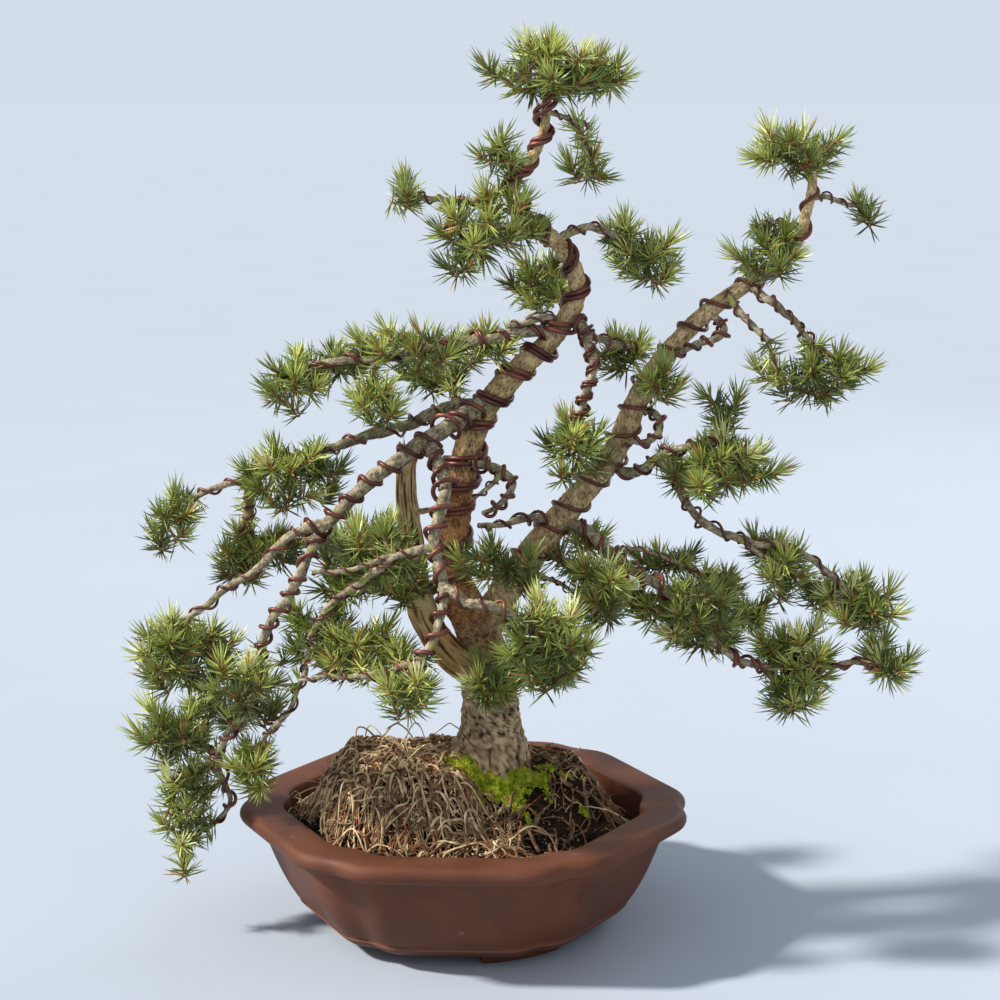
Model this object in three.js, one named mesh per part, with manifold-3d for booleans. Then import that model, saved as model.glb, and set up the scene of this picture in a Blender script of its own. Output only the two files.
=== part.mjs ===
// A pine trained as a bonsai: one leaning trunk, a second trunk that leaves it low on the right, a strip of
// deadwood, bent boughs and separate clouds of foliage, on a mat of roots in a six-lobed pot on three feet.
// Millimetres, +Z up, the front faces -Y. The feet stand at Z 0 on the pot's axis, and the last lines move
// the whole plant so that its origin is under its middle.

import * as THREE from 'three';
import { mergeVertices } from 'three/addons/utils/BufferGeometryUtils.js';
import Module from 'manifold-3d';

const wasm = await Module();
wasm.setup();

// ---------------------------------------------------------------- driving dimensions

const GAP = 0.3; // clearance kept wherever two pieces meet

const POT_HEIGHT = 140;
const POT_CENTRE_Y = 28;
const POT_LIP_APOTHEM = 240; // middle of a lobe, at the lip's outer edge
const POT_LIP_WIDTH = 47;
const POT_LIP_OVERHANG = 22; // from the wall's outside to the lip's outer edge
const POT_LIP_THICKNESS = 20;
const POT_BASE_APOTHEM = 152;
const POT_WALL = 14;
const POT_WALL_CURVE = 0.51; // under 1, the wall opens fast above the base
const POT_LOBES = 6;
const POT_NOTCH = 0.055; // how far each crease is drawn in
const POT_NOTCH_FROM = 0.65; // share of the half lobe where that starts
const POT_TURN = -3; // degrees about Z
const POT_POINTS_PER_LOBE = 6;
const POT_WALL_LEVELS = [0, 0.3, 1]; // shares of the height inside, from the floor to under the lip

const FOOT_HEIGHT = 12;
const FOOT_COUNT = 3;
const FOOT_RADIUS = 152;
const FOOT_DEPTH = 30;
const FOOT_HALF_ANGLE = 19;

const SOIL_LEVEL = 124; // where the roots meet the pot's inner wall
const ROOT_BLOCK = { x: -70, y: 8, reachX: 122, reachY: 128, height: 68, level: 0.58 };
const ROOT_SLOPE = { x: 78, y: 42, reachX: 140, reachY: 125, height: 54, level: 0.3 };
const ROOT_RINGS = 6;
const ROOT_CLEARANCE = 1; // between the roots and the pot's wall

const TRUNK_FOOT = new THREE.Vector3(30, 25, 190);
const TRUNK_FLARE = 32; // extra girth at the ground
const TRUNK_FLARE_SHARE = 0.09; // share of the trunk over which it fades
const PATH_STEPS = 60;
const LIMB_STRIDE = 30; // length of limb between two rings of its skin
const TRUNK_SIDES = 9;
const BOUGH_SIDES = 6;

const LUMP_DEPTH = 0.15; // unevenness of a foliage mass, as a share of its size
const SMALL_MASS = 63; // masses no larger than this get the coarser mesh

const COLOURS = {
  pot: '#5a3528',
  roots: '#6f563b',
  bark: '#9c7c58',
  deadwood: '#a8916b',
  boughs: '#7d6e5c',
  foliage: '#5f7d3a',
};

// ---------------------------------------------------------------- solids and meshes

function toSolid(geometry) {
  const bare = geometry.clone();
  bare.deleteAttribute('normal');
  bare.deleteAttribute('uv');
  const merged = mergeVertices(bare);
  const mesh = new wasm.Mesh({
    numProp: 3,
    vertProperties: new Float32Array(merged.attributes.position.array),
    triVerts: new Uint32Array(merged.index.array),
  });
  return new wasm.Manifold(mesh);
}

function toGeometry(solid) {
  const mesh = solid.getMesh();
  const geometry = new THREE.BufferGeometry();
  geometry.setAttribute('position', new THREE.BufferAttribute(mesh.vertProperties, 3));
  geometry.setIndex(new THREE.BufferAttribute(mesh.triVerts, 1));
  geometry.computeVertexNormals();
  return geometry;
}

// A cut can leave chips behind: the piece is its largest body.
function largestBody(solid) {
  const bodies = solid.decompose();
  return bodies.reduce((best, body) => (body.volume() > best.volume() ? body : best));
}

// A closed skin over rings that all hold the same number of points, with a fan over each end.
function loft(rings) {
  const count = rings[0].length;
  const points = rings.flat();
  const faces = [];
  for (let ring = 0; ring + 1 < rings.length; ring += 1) {
    for (let i = 0; i < count; i += 1) {
      const next = (i + 1) % count;
      const low = ring * count;
      const high = low + count;
      faces.push(low + i, low + next, high + next, low + i, high + next, high + i);
    }
  }
  const startCentre = points.push(middleOf(rings[0])) - 1;
  const endCentre = points.push(middleOf(rings.at(-1))) - 1;
  const last = (rings.length - 1) * count;
  for (let i = 0; i < count; i += 1) {
    const next = (i + 1) % count;
    faces.push(startCentre, next, i, endCentre, last + i, last + next);
  }
  const geometry = new THREE.BufferGeometry().setFromPoints(points);
  geometry.setIndex(faces);
  return geometry;
}

function middleOf(ring) {
  const sum = new THREE.Vector3();
  ring.forEach((point) => sum.add(point));
  return sum.divideScalar(ring.length);
}

// ---------------------------------------------------------------- the pot

// Radius of the six-lobed outline against its apothem: nearly straight lobes between drawn-in creases.
function lobeShape(turn) {
  const lobe = (2 * Math.PI) / POT_LOBES;
  const inLobe = THREE.MathUtils.euclideanModulo(turn, lobe) - lobe / 2;
  const drawnIn = THREE.MathUtils.smoothstep(Math.abs(inLobe) / (lobe / 2), POT_NOTCH_FROM, 1);
  return (1 - POT_NOTCH * drawnIn) / Math.cos(inLobe);
}

function lobedRing(apothem, heightAt) {
  const count = POT_LOBES * POT_POINTS_PER_LOBE;
  const ring = [];
  for (let i = 0; i < count; i += 1) {
    const turn = (i / count) * 2 * Math.PI;
    const radius = apothem * lobeShape(turn);
    const angle = turn + THREE.MathUtils.degToRad(POT_TURN);
    const x = radius * Math.cos(angle);
    const y = POT_CENTRE_Y + radius * Math.sin(angle);
    const z = typeof heightAt === 'function' ? heightAt(x, y) : heightAt;
    ring.push(new THREE.Vector3(x, y, z));
  }
  return ring;
}

const potFloor = FOOT_HEIGHT + POT_WALL;
const lipInner = POT_LIP_APOTHEM - POT_LIP_WIDTH;
const underLip = POT_HEIGHT - POT_LIP_THICKNESS;

// The bowl's outer apothem at a height: it opens fast above the base, then rises more steeply.
function wallApothem(z) {
  const top = POT_LIP_APOTHEM - POT_LIP_OVERHANG;
  const rise = (z - FOOT_HEIGHT) / (underLip - FOOT_HEIGHT);
  return POT_BASE_APOTHEM + (top - POT_BASE_APOTHEM) * Math.pow(Math.max(rise, 0), POT_WALL_CURVE);
}

// The inside of the bowl from its floor up, drawn in by a clearance, and never wider than the lip's mouth.
function insideRings(clearance) {
  return POT_WALL_LEVELS.map((share) => {
    const z = THREE.MathUtils.lerp(potFloor, underLip, share);
    const apothem = Math.min(wallApothem(z) - POT_WALL, lipInner);
    return lobedRing(apothem - clearance, z);
  });
}

function potSolid() {
  const outer = [0, 0.08, 0.25, 0.6, 1].map((share) => {
    const z = THREE.MathUtils.lerp(FOOT_HEIGHT, underLip, share);
    return lobedRing(wallApothem(z), z);
  });
  const lip = [
    lobedRing(POT_LIP_APOTHEM - 5, underLip + 2),
    lobedRing(POT_LIP_APOTHEM, underLip + 8),
    lobedRing(POT_LIP_APOTHEM - 5, POT_HEIGHT),
    lobedRing(lipInner, POT_HEIGHT),
  ];
  let pot = toSolid(loft([...outer, ...lip, ...insideRings(0).reverse()]));
  for (let i = 0; i < FOOT_COUNT; i += 1) {
    pot = pot.add(toSolid(footGeometry(180 + POT_TURN + (i * 360) / FOOT_COUNT)));
  }
  return pot;
}

// A low foot bent along the edge of the base, under one crease.
function footGeometry(turn) {
  const half = THREE.MathUtils.degToRad(FOOT_HALF_ANGLE);
  const outline = new THREE.Shape();
  outline.absarc(0, 0, FOOT_RADIUS, -half, half, false);
  outline.absarc(0, 0, FOOT_RADIUS - FOOT_DEPTH, half, -half, true);
  const foot = new THREE.ExtrudeGeometry(outline, {
    depth: FOOT_HEIGHT + POT_WALL / 2,
    bevelEnabled: false,
    curveSegments: 4,
  });
  foot.rotateZ(THREE.MathUtils.degToRad(turn));
  foot.translate(0, POT_CENTRE_Y, 0);
  return foot;
}

// ---------------------------------------------------------------- the mat of roots

// One swelling of the mat, with blunt corners: level on top, falling to nothing at its reach.
function swelling(part, x, y) {
  const across = Math.abs(x - part.x) / part.reachX;
  const deep = Math.abs(y - part.y) / part.reachY;
  const distance = Math.cbrt(across ** 3 + deep ** 3);
  return part.height * (1 - THREE.MathUtils.smoothstep(distance, part.level, 1));
}

// A high block of roots on the left and a lower slope on the right, with an uneven surface.
function rootHeight(x, y) {
  const uneven = 3 * Math.sin(x / 17 + y / 29) + 2 * Math.sin(y / 13 - x / 31);
  const block = swelling(ROOT_BLOCK, x, y);
  const slope = swelling(ROOT_SLOPE, x, y);
  return SOIL_LEVEL + Math.max(block, slope) + uneven * Math.min(1, (block + slope) / 20);
}

function rootBallSolid() {
  const buried = insideRings(ROOT_CLEARANCE);
  buried[0].forEach((point) => {
    point.z += GAP;
  });
  const surface = [];
  for (let ring = 0; ring < ROOT_RINGS; ring += 1) {
    const share = 1 - ring / ROOT_RINGS;
    surface.push(lobedRing((lipInner - ROOT_CLEARANCE) * share, rootHeight));
  }
  return toSolid(loft([...buried, ...surface]));
}

// ---------------------------------------------------------------- limbs

// Value of a list of evenly spaced settings at a share from 0 to 1.
function along(settings, share) {
  const place = share * (settings.length - 1);
  const step = Math.min(Math.floor(place), settings.length - 2);
  return THREE.MathUtils.lerp(settings[step], settings[step + 1], place - step);
}

// The centreline of a limb: it grows from its start, turning evenly from one heading and pitch to the next.
// Heading 0 is +X and 90 is +Y. Pitch 0 is level, 90 straight up, and past 90 it leans back over.
function growPath(start, length, headings, pitches) {
  const path = [start.clone()];
  for (let step = 0; step < PATH_STEPS; step += 1) {
    const share = (step + 0.5) / PATH_STEPS;
    const heading = THREE.MathUtils.degToRad(along(headings, share));
    const pitch = THREE.MathUtils.degToRad(along(pitches, share));
    const flat = Math.cos(pitch);
    const direction = new THREE.Vector3(flat * Math.cos(heading), flat * Math.sin(heading), Math.sin(pitch));
    path.push(path.at(-1).clone().addScaledVector(direction, length / PATH_STEPS));
  }
  return path;
}

function pointOn(path, share) {
  const place = share * (path.length - 1);
  const step = Math.min(Math.floor(place), path.length - 2);
  return path[step].clone().lerp(path[step + 1], place - step);
}

// A tapering skin along a path. The rings turn with the path and never twist round it.
function sweep(limb, grow) {
  const up = Math.abs(limb.path[1].z - limb.path[0].z) > 0.8 * limb.path[0].distanceTo(limb.path[1]);
  let side = up ? new THREE.Vector3(1, 0, 0) : new THREE.Vector3(0, 0, 1);
  const rings = [];
  for (let ring = 0; ring <= limb.rings; ring += 1) {
    const share = ring / limb.rings;
    const at = pointOn(limb.path, share);
    const ahead = pointOn(limb.path, Math.min(share + 0.02, 1));
    const behind = pointOn(limb.path, Math.max(share - 0.02, 0));
    const forward = ahead.sub(behind).normalize();
    side = side.clone().addScaledVector(forward, -side.dot(forward)).normalize();
    const across = new THREE.Vector3().crossVectors(forward, side);
    const ends = limb.level && ring === 0;
    const radius = limb.girthAt(share) / 2 + grow;
    const points = [];
    for (let i = 0; i < limb.sides; i += 1) {
      const angle = (i / limb.sides) * 2 * Math.PI;
      const point = at.clone();
      point.addScaledVector(side, radius * Math.cos(angle));
      point.addScaledVector(across, radius * Math.sin(angle));
      if (ends) point.z = at.z - grow;
      points.push(point);
    }
    rings.push(points);
  }
  return toSolid(loft(rings));
}

// Straight taper between two girths.
function taper(thick, thin) {
  return (share) => THREE.MathUtils.lerp(thick, thin, share);
}

// The trunk's taper is slower at the top, and its foot flares into the roots.
function trunkTaper(thick, thin) {
  return (share) => {
    const shaft = thin + (thick - thin) * Math.pow(1 - share, 1.2);
    return shaft + TRUNK_FLARE * Math.exp(-share / TRUNK_FLARE_SHARE);
  };
}

// Each limb leaves its parent at a share of the parent's length. Girths are diameters, base then tip.
// endsIn names the foliage that a bough runs into; without it the limb runs on through, or ends bare.
const LIMBS = [
  {
    name: 'trunk',
    length: 870,
    girths: [52, 8],
    headings: [-5, 5, 20, 25, 0, -15, -15, -5, 5, 15, 20, 5, 0, -5, -5],
    pitches: [85, 95, 100, 125, 85, 80, 75, 50, 40, 60, 125, 150, 45, 85, 105],
    colour: COLOURS.bark,
  },
  {
    name: 'right_trunk',
    parent: 'trunk',
    share: 0.16,
    length: 670,
    girths: [38, 9],
    headings: [20, 15, 5, -5, -15, -10, 0, -5, 0, 5],
    pitches: [65, 55, 50, 50, 70, 55, 40, 30, 75, 95],
    colour: COLOURS.bark,
  },
  {
    name: 'deadwood',
    parent: 'trunk',
    share: 0.11,
    length: 315,
    girths: [34, 18],
    headings: [-135, -170, -205, -230, -330],
    pitches: [20, 55, 85, 80, 90],
    colour: COLOURS.deadwood,
  },
  {
    name: 'right_arm',
    parent: 'trunk',
    share: 0.74,
    length: 125,
    girths: [10, 6],
    headings: [5, 10, 10, 5],
    pitches: [50, -10, -25, -20],
    endsIn: 'foliage_right_arm',
  },
  {
    name: 'upper_left_arm',
    parent: 'trunk',
    share: 0.83,
    length: 125,
    girths: [9, 5],
    headings: [-180, -175, -180, -190],
    pitches: [-20, -10, 5, 30],
    endsIn: 'foliage_far_left',
  },
  {
    name: 'left_upper_bough',
    parent: 'trunk',
    share: 0.61,
    length: 280,
    girths: [14, 7],
    headings: [-150, -175, -180, -180, -185],
    pitches: [10, -10, -10, -5, -30],
    endsIn: 'foliage_left_upper_outer',
  },
  {
    name: 'left_middle_bough',
    parent: 'trunk',
    share: 0.48,
    length: 370,
    girths: [15, 6],
    headings: [130, 165, 205, 195, 180, 165],
    pitches: [10, -30, -10, -10, -30, -15],
    endsIn: 'foliage_left_middle_outer',
  },
  {
    name: 'front_left_bough',
    parent: 'trunk',
    share: 0.49,
    length: 260,
    girths: [20, 13],
    headings: [-130, -140, -175, -170, -190],
    pitches: [-10, -25, -35, -45, -20],
  },
  {
    name: 'low_left_outer_bough',
    parent: 'front_left_bough',
    share: 0.93,
    length: 200,
    girths: [11, 6],
    headings: [165, 165, 180, 185],
    pitches: [-20, -45, -35, -40],
    endsIn: 'foliage_low_left_outer',
  },
  {
    name: 'low_left_front_bough',
    parent: 'front_left_bough',
    share: 0.92,
    length: 425,
    girths: [12, 5],
    headings: [-140, -145, -180, -250, -215, -215, -350, -140],
    pitches: [-75, -55, -60, -75, -45, -55, -65, -35],
    endsIn: 'foliage_low_left_tip',
  },
  {
    name: 'front_hanging_bough',
    parent: 'front_left_bough',
    share: 0.37,
    length: 270,
    girths: [15, 8],
    headings: [-55, -75, -130, -40, -120, -200],
    pitches: [-30, -45, -65, -70, -65, -35],
    endsIn: 'foliage_front_low',
  },
  {
    name: 'front_side_bough',
    parent: 'front_hanging_bough',
    share: 0.65,
    length: 110,
    girths: [12, 8],
    headings: [-30, -10, 0, 10],
    pitches: [-20, -15, -25, -30],
    endsIn: 'foliage_front',
  },
  {
    name: 'low_left_inner_bough',
    parent: 'front_hanging_bough',
    share: 0.5,
    length: 340,
    girths: [9, 5],
    headings: [-175, -195, -195, -215, -220, -210, -205],
    pitches: [0, -35, -40, -65, -70, -55, -50],
  },
  {
    name: 'down_bough',
    parent: 'trunk',
    share: 0.64,
    length: 140,
    girths: [12, 8],
    headings: [-40, -55, -150, -180],
    pitches: [-20, -65, -70, -75],
    endsIn: 'foliage_centre_right',
  },
  {
    name: 'right_inner_bough',
    parent: 'trunk',
    share: 0.64,
    length: 115,
    girths: [10, 6],
    headings: [20, 35, 45, 45],
    pitches: [-55, -25, -10, -20],
    endsIn: 'foliage_behind_right',
  },
  {
    name: 'knob_bough',
    parent: 'trunk',
    share: 0.41,
    length: 130,
    girths: [11, 6],
    headings: [-65, -40, -15, -200, -215],
    pitches: [-20, 10, -40, -55, -20],
  },
  {
    name: 'right_middle_bough',
    parent: 'right_trunk',
    share: 0.37,
    length: 145,
    girths: [13, 7],
    headings: [-35, -35, -5, 0],
    pitches: [-35, 25, 25, 0],
  },
  {
    name: 'right_long_bough',
    parent: 'right_middle_bough',
    share: 0.55,
    length: 285,
    girths: [11, 6],
    headings: [-35, -10, 5, 5, 0, 10],
    pitches: [-70, -55, -20, -10, -40, -35],
    endsIn: 'foliage_right_long_outer',
  },
  {
    name: 'right_low_bough',
    parent: 'right_trunk',
    share: 0.23,
    length: 435,
    girths: [14, 5],
    headings: [-30, -35, -15, 0, 10, 10, 0, 0],
    pitches: [10, -35, -30, -50, -45, 0, 10, -5],
    endsIn: 'foliage_far_right',
  },
  {
    name: 'right_pad_bough',
    parent: 'right_trunk',
    share: 0.75,
    length: 110,
    girths: [10, 6],
    headings: [-60, -20, 20, 10],
    pitches: [-10, -35, -55, -35],
    endsIn: 'foliage_right_pad',
  },
];

// ---------------------------------------------------------------- foliage

// Centre and half sizes of each mass, as across, deep and high.
const MASSES = [
  { name: 'foliage_apex', centre: [90, -4, 958], half: [85, 52, 42] },
  { name: 'foliage_upper_left', centre: [40, -26, 875], half: [35, 34, 28] },
  { name: 'foliage_upper_right', centre: [140, 36, 850], half: [34, 30, 25] },
  { name: 'foliage_far_left', centre: [-60, -2, 825], half: [26, 26, 25] },
  { name: 'foliage_crown_left', centre: [30, -28, 795], half: [70, 58, 52] },
  { name: 'foliage_crown_back', centre: [85, 88, 725], half: [45, 52, 36] },
  { name: 'foliage_right_arm', centre: [205, 20, 755], half: [55, 45, 38] },
  { name: 'foliage_left_upper', centre: [-40, -14, 660], half: [105, 48, 28] },
  { name: 'foliage_left_upper_outer', centre: [-185, -22, 625], half: [50, 48, 38] },
  { name: 'foliage_left_upper_front', centre: [-85, -74, 610], half: [50, 36, 30] },
  { name: 'foliage_left_upper_back', centre: [-30, 100, 615], half: [55, 50, 30] },
  { name: 'foliage_behind_right', centre: [180, 85, 645], half: [42, 45, 34] },
  { name: 'foliage_centre_right', centre: [120, -42, 555], half: [55, 46, 44] },
  { name: 'foliage_right_small', centre: [290, 34, 588], half: [36, 34, 30] },
  { name: 'foliage_right_middle', centre: [280, -8, 530], half: [85, 52, 42] },
  { name: 'foliage_right_top', centre: [355, 18, 875], half: [70, 45, 36] },
  { name: 'foliage_right_top_inner', centre: [330, 4, 765], half: [50, 50, 40] },
  { name: 'foliage_right_pad', centre: [385, 4, 630], half: [86, 50, 38] },
  { name: 'foliage_left_middle', centre: [-190, -8, 522], half: [80, 45, 44] },
  { name: 'foliage_left_middle_outer', centre: [-325, 10, 470], half: [45, 45, 42] },
  { name: 'foliage_left_lower', centre: [-250, 50, 415], half: [45, 45, 34] },
  { name: 'foliage_centre_left', centre: [-90, -95, 450], half: [60, 48, 50] },
  { name: 'foliage_low_left_outer', centre: [-325, -55, 330], half: [46, 48, 50] },
  { name: 'foliage_low_left_middle', centre: [-235, -106, 310], half: [52, 44, 46] },
  { name: 'foliage_low_left_under', centre: [-330, -12, 232], half: [54, 42, 42] },
  { name: 'foliage_low_left_tip', centre: [-312, -18, 120], half: [40, 38, 54] },
  { name: 'foliage_low_left_inner', centre: [-105, -116, 350], half: [64, 46, 44] },
  { name: 'foliage_front_low', centre: [-58, -174, 325], half: [40, 38, 36] },
  { name: 'foliage_centre_front', centre: [42, -84, 435], half: [64, 44, 36] },
  { name: 'foliage_front', centre: [90, -152, 368], half: [60, 52, 60] },
  { name: 'foliage_right_low_inner', centre: [150, -36, 400], half: [46, 48, 54] },
  { name: 'foliage_right_low', centre: [255, -20, 370], half: [60, 52, 40] },
  { name: 'foliage_right_low_outer', centre: [380, -4, 305], half: [52, 46, 58] },
  { name: 'foliage_far_right', centre: [475, 0, 305], half: [35, 34, 30] },
  { name: 'foliage_right_long', centre: [360, -8, 415], half: [36, 38, 40] },
  { name: 'foliage_right_long_outer', centre: [440, 0, 372], half: [60, 44, 38] },
  { name: 'foliage_back_left', centre: [-115, 150, 410], half: [62, 55, 38] },
  { name: 'foliage_back_right', centre: [280, 150, 500], half: [66, 54, 36] },
];

// A closed, lumpy ball that just fills its half sizes. Each seed gives another arrangement of lumps.
function lumpyMass(mass, seed, grow) {
  const size = Math.max(...mass.half);
  const ball = new THREE.IcosahedronGeometry(1, size > SMALL_MASS ? 2 : 1);
  ball.deleteAttribute('normal');
  ball.deleteAttribute('uv');
  const geometry = mergeVertices(ball);
  const places = geometry.attributes.position;
  const point = new THREE.Vector3();
  for (let i = 0; i < places.count; i += 1) {
    point.fromBufferAttribute(places, i);
    const wave = Math.sin(3.3 * point.x + 1.7 * seed) * Math.cos(2.9 * point.y - seed);
    const ripple = Math.sin(5.1 * point.z + 4.3 * point.x + 2.3 * seed);
    point.multiplyScalar(1 + LUMP_DEPTH * (wave + 0.6 * ripple));
    places.setXYZ(i, point.x, point.y, point.z);
  }
  geometry.computeBoundingBox();
  const box = geometry.boundingBox;
  const extent = box.getSize(new THREE.Vector3());
  const middle = box.getCenter(new THREE.Vector3());
  geometry.translate(-middle.x, -middle.y, -middle.z);
  const [across, deep, high] = mass.half.map((half) => 2 * (half + grow));
  geometry.scale(across / extent.x, deep / extent.y, high / extent.z);
  geometry.translate(...mass.centre);
  return toSolid(geometry);
}

// ---------------------------------------------------------------- assembly

const pieces = [];

function addPiece(name, solid, colour) {
  pieces.push({ name, solid, colour });
}

const pot = potSolid();
addPiece('pot', pot, COLOURS.pot);

const massRows = new Map(MASSES.map((mass, index) => [mass.name, { mass, seed: index + 1 }]));

const limbs = new Map();
LIMBS.forEach((row) => {
  const parent = limbs.get(row.parent);
  const isTrunk = row.name === 'trunk';
  const start = parent ? pointOn(parent.path, row.share) : TRUNK_FOOT;
  const shape = isTrunk ? trunkTaper : taper;
  const limb = {
    path: growPath(start, row.length, row.headings, row.pitches),
    girthAt: shape(...row.girths),
    rings: Math.round(row.length / LIMB_STRIDE),
    sides: row.colour ? TRUNK_SIDES : BOUGH_SIDES,
    level: isTrunk,
    endsIn: row.endsIn,
  };
  let solid = sweep(limb, 0);
  limbs.forEach((other) => {
    solid = solid.subtract(other.grown);
  });
  if (row.endsIn) {
    const { mass, seed } = massRows.get(row.endsIn);
    solid = solid.subtract(lumpyMass(mass, seed, GAP));
  }
  limb.grown = sweep(limb, GAP);
  limbs.set(row.name, limb);
  addPiece(row.name, largestBody(solid), row.colour ?? COLOURS.boughs);
});

addPiece('root_ball', largestBody(rootBallSolid().subtract(limbs.get('trunk').grown)), COLOURS.roots);

const placed = [];
massRows.forEach(({ mass, seed }, name) => {
  let solid = lumpyMass(mass, seed, 0);
  limbs.forEach((limb) => {
    if (limb.endsIn !== name) solid = solid.subtract(limb.grown);
  });
  placed.forEach((grown) => {
    solid = solid.subtract(grown);
  });
  placed.push(lumpyMass(mass, seed, GAP));
  addPiece(name, largestBody(solid), COLOURS.foliage);
});

const tree = new THREE.Group();
pieces.forEach(({ name, solid, colour }) => {
  const material = new THREE.MeshStandardMaterial({ color: colour, roughness: 0.85, metalness: 0 });
  const mesh = new THREE.Mesh(toGeometry(solid), material);
  mesh.name = name;
  tree.add(mesh);
});

// The origin is under the middle of the whole plant, level with the undersides of the feet.
const box = new THREE.Box3().setFromObject(tree);
const centre = box.getCenter(new THREE.Vector3());
tree.position.set(-centre.x, -centre.y, -box.min.z);
tree.updateMatrixWorld(true);

export default tree;
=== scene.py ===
# %% [markdown]
# # A wired bonsai pine in a six-lobed pot
#
# The real object is a pine about a metre high, trained as a bonsai. One trunk leans and doubles back, a
# second trunk leaves it low on the right, and a strip of dead wood stands at its left. Copper-brown
# aluminium wire winds round every limb. The needles stand in round brushes at the ends of the shoots.
#
# The CAD model gives the pot, the limbs and one plain solid for each cloud of foliage. This file grows the
# fine things on that frame. Everything is in metres, with +Z up and the front facing -Y.

# %% Load the frame
import math

import bmesh
import bpy
import numpy as np
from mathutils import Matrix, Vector, noise
from mathutils.bvhtree import BVHTree


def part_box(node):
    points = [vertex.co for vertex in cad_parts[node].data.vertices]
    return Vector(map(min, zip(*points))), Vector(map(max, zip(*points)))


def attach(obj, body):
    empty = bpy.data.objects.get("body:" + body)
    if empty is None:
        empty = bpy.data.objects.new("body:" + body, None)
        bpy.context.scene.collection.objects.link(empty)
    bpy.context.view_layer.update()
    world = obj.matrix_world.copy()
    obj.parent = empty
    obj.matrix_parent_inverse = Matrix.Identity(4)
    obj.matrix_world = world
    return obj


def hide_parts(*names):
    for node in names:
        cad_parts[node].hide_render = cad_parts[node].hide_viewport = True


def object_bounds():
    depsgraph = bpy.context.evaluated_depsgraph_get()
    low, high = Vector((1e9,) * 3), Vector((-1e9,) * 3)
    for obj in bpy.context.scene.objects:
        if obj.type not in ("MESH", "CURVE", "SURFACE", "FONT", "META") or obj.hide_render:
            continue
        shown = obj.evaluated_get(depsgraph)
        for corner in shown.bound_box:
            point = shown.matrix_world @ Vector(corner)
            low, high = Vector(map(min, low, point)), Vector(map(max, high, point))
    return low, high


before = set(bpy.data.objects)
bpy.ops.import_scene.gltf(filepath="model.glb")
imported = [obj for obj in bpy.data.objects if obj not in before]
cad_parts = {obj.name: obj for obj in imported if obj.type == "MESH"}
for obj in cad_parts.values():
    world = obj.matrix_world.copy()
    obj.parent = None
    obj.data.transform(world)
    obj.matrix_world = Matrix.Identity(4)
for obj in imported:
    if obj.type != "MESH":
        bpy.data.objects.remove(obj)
cad_low, cad_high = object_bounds()
print("CAD box", [round(v, 3) for v in cad_high - cad_low])

# %% [markdown]
# ## Helpers
#
# Every random draw comes from one seeded generator, so the plant is the same each time. Blender's noise
# module is seeded as well, because its vectors otherwise start from the clock. A limb, a root and a wire are
# all a line with a thickness. A curve with a bevel turns such lines into skins in one go, and its mesh keeps
# the rings in order, which the bark relief uses later.

# %% Helpers for numbers and pieces
SEED = 20
rng = np.random.default_rng(SEED)
noise.seed_set(SEED)
MM = 0.001
UP = np.array([0.0, 0.0, 1.0])


def smoothstep(low, high, value):
    """0 below low, 1 above high, and a soft rise between."""
    share = np.clip((value - low) / (high - low), 0, 1)
    return share * share * (3 - 2 * share)


def unit(vectors):
    """Vectors at length one."""
    return vectors / np.maximum(np.linalg.norm(vectors, axis=-1, keepdims=True), 1e-12)


def random_directions(count):
    return unit(rng.normal(size=(count, 3)))


def piece(mesh, name, material, smooth=True):
    """A finished mesh becomes a named piece of the plant, with its finish."""
    made = bpy.data.objects.new(name, mesh)
    bpy.context.scene.collection.objects.link(made)
    mesh.materials.clear()
    mesh.materials.append(material)
    if smooth:
        mesh.shade_smooth()
    else:
        mesh.shade_flat()
    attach(made, "root")
    print(f"{name}: {len(mesh.vertices)} points, {sum(len(p.vertices) - 2 for p in mesh.polygons)} triangles")
    return made


def points_of(mesh):
    places = np.zeros(len(mesh.vertices) * 3)
    mesh.vertices.foreach_get("co", places)
    return places.reshape(-1, 3)


def store(mesh, name, values):
    """Keeps one number for each point, for a material to read."""
    attribute = mesh.attributes.new(name, "FLOAT", "POINT")
    attribute.data.foreach_set("value", np.asarray(values, dtype=np.float32))


# %% Helpers for skins along lines and for scattered small things
def skins(paths, radii, sides):
    """One mesh with an open tapering tube along each path. Rings lie in order, `sides` points in each."""
    curve = bpy.data.curves.new("line", "CURVE")
    curve.dimensions = "3D"
    curve.bevel_depth = 1.0
    curve.bevel_resolution = (sides - 4) // 2
    for path, radius in zip(paths, radii):
        spline = curve.splines.new("POLY")
        spline.points.add(len(path) - 1)
        spline.points.foreach_set("co", np.column_stack([path, np.ones(len(path))]).ravel())
        spline.points.foreach_set("radius", np.broadcast_to(radius, len(path)))
    holder = bpy.data.objects.new("line", curve)
    bpy.context.scene.collection.objects.link(holder)
    graph = bpy.context.evaluated_depsgraph_get()
    mesh = bpy.data.meshes.new_from_object(holder.evaluated_get(graph))
    bpy.data.objects.remove(holder)
    bpy.data.curves.remove(curve)
    return mesh


def close_ends(mesh):
    """Fills the open ends of the tubes."""
    shape = bmesh.new()
    shape.from_mesh(mesh)
    ends = [edge for edge in shape.edges if edge.is_boundary]
    bmesh.ops.holes_fill(shape, edges=ends)
    shape.to_mesh(mesh)
    shape.free()
    return mesh


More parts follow.
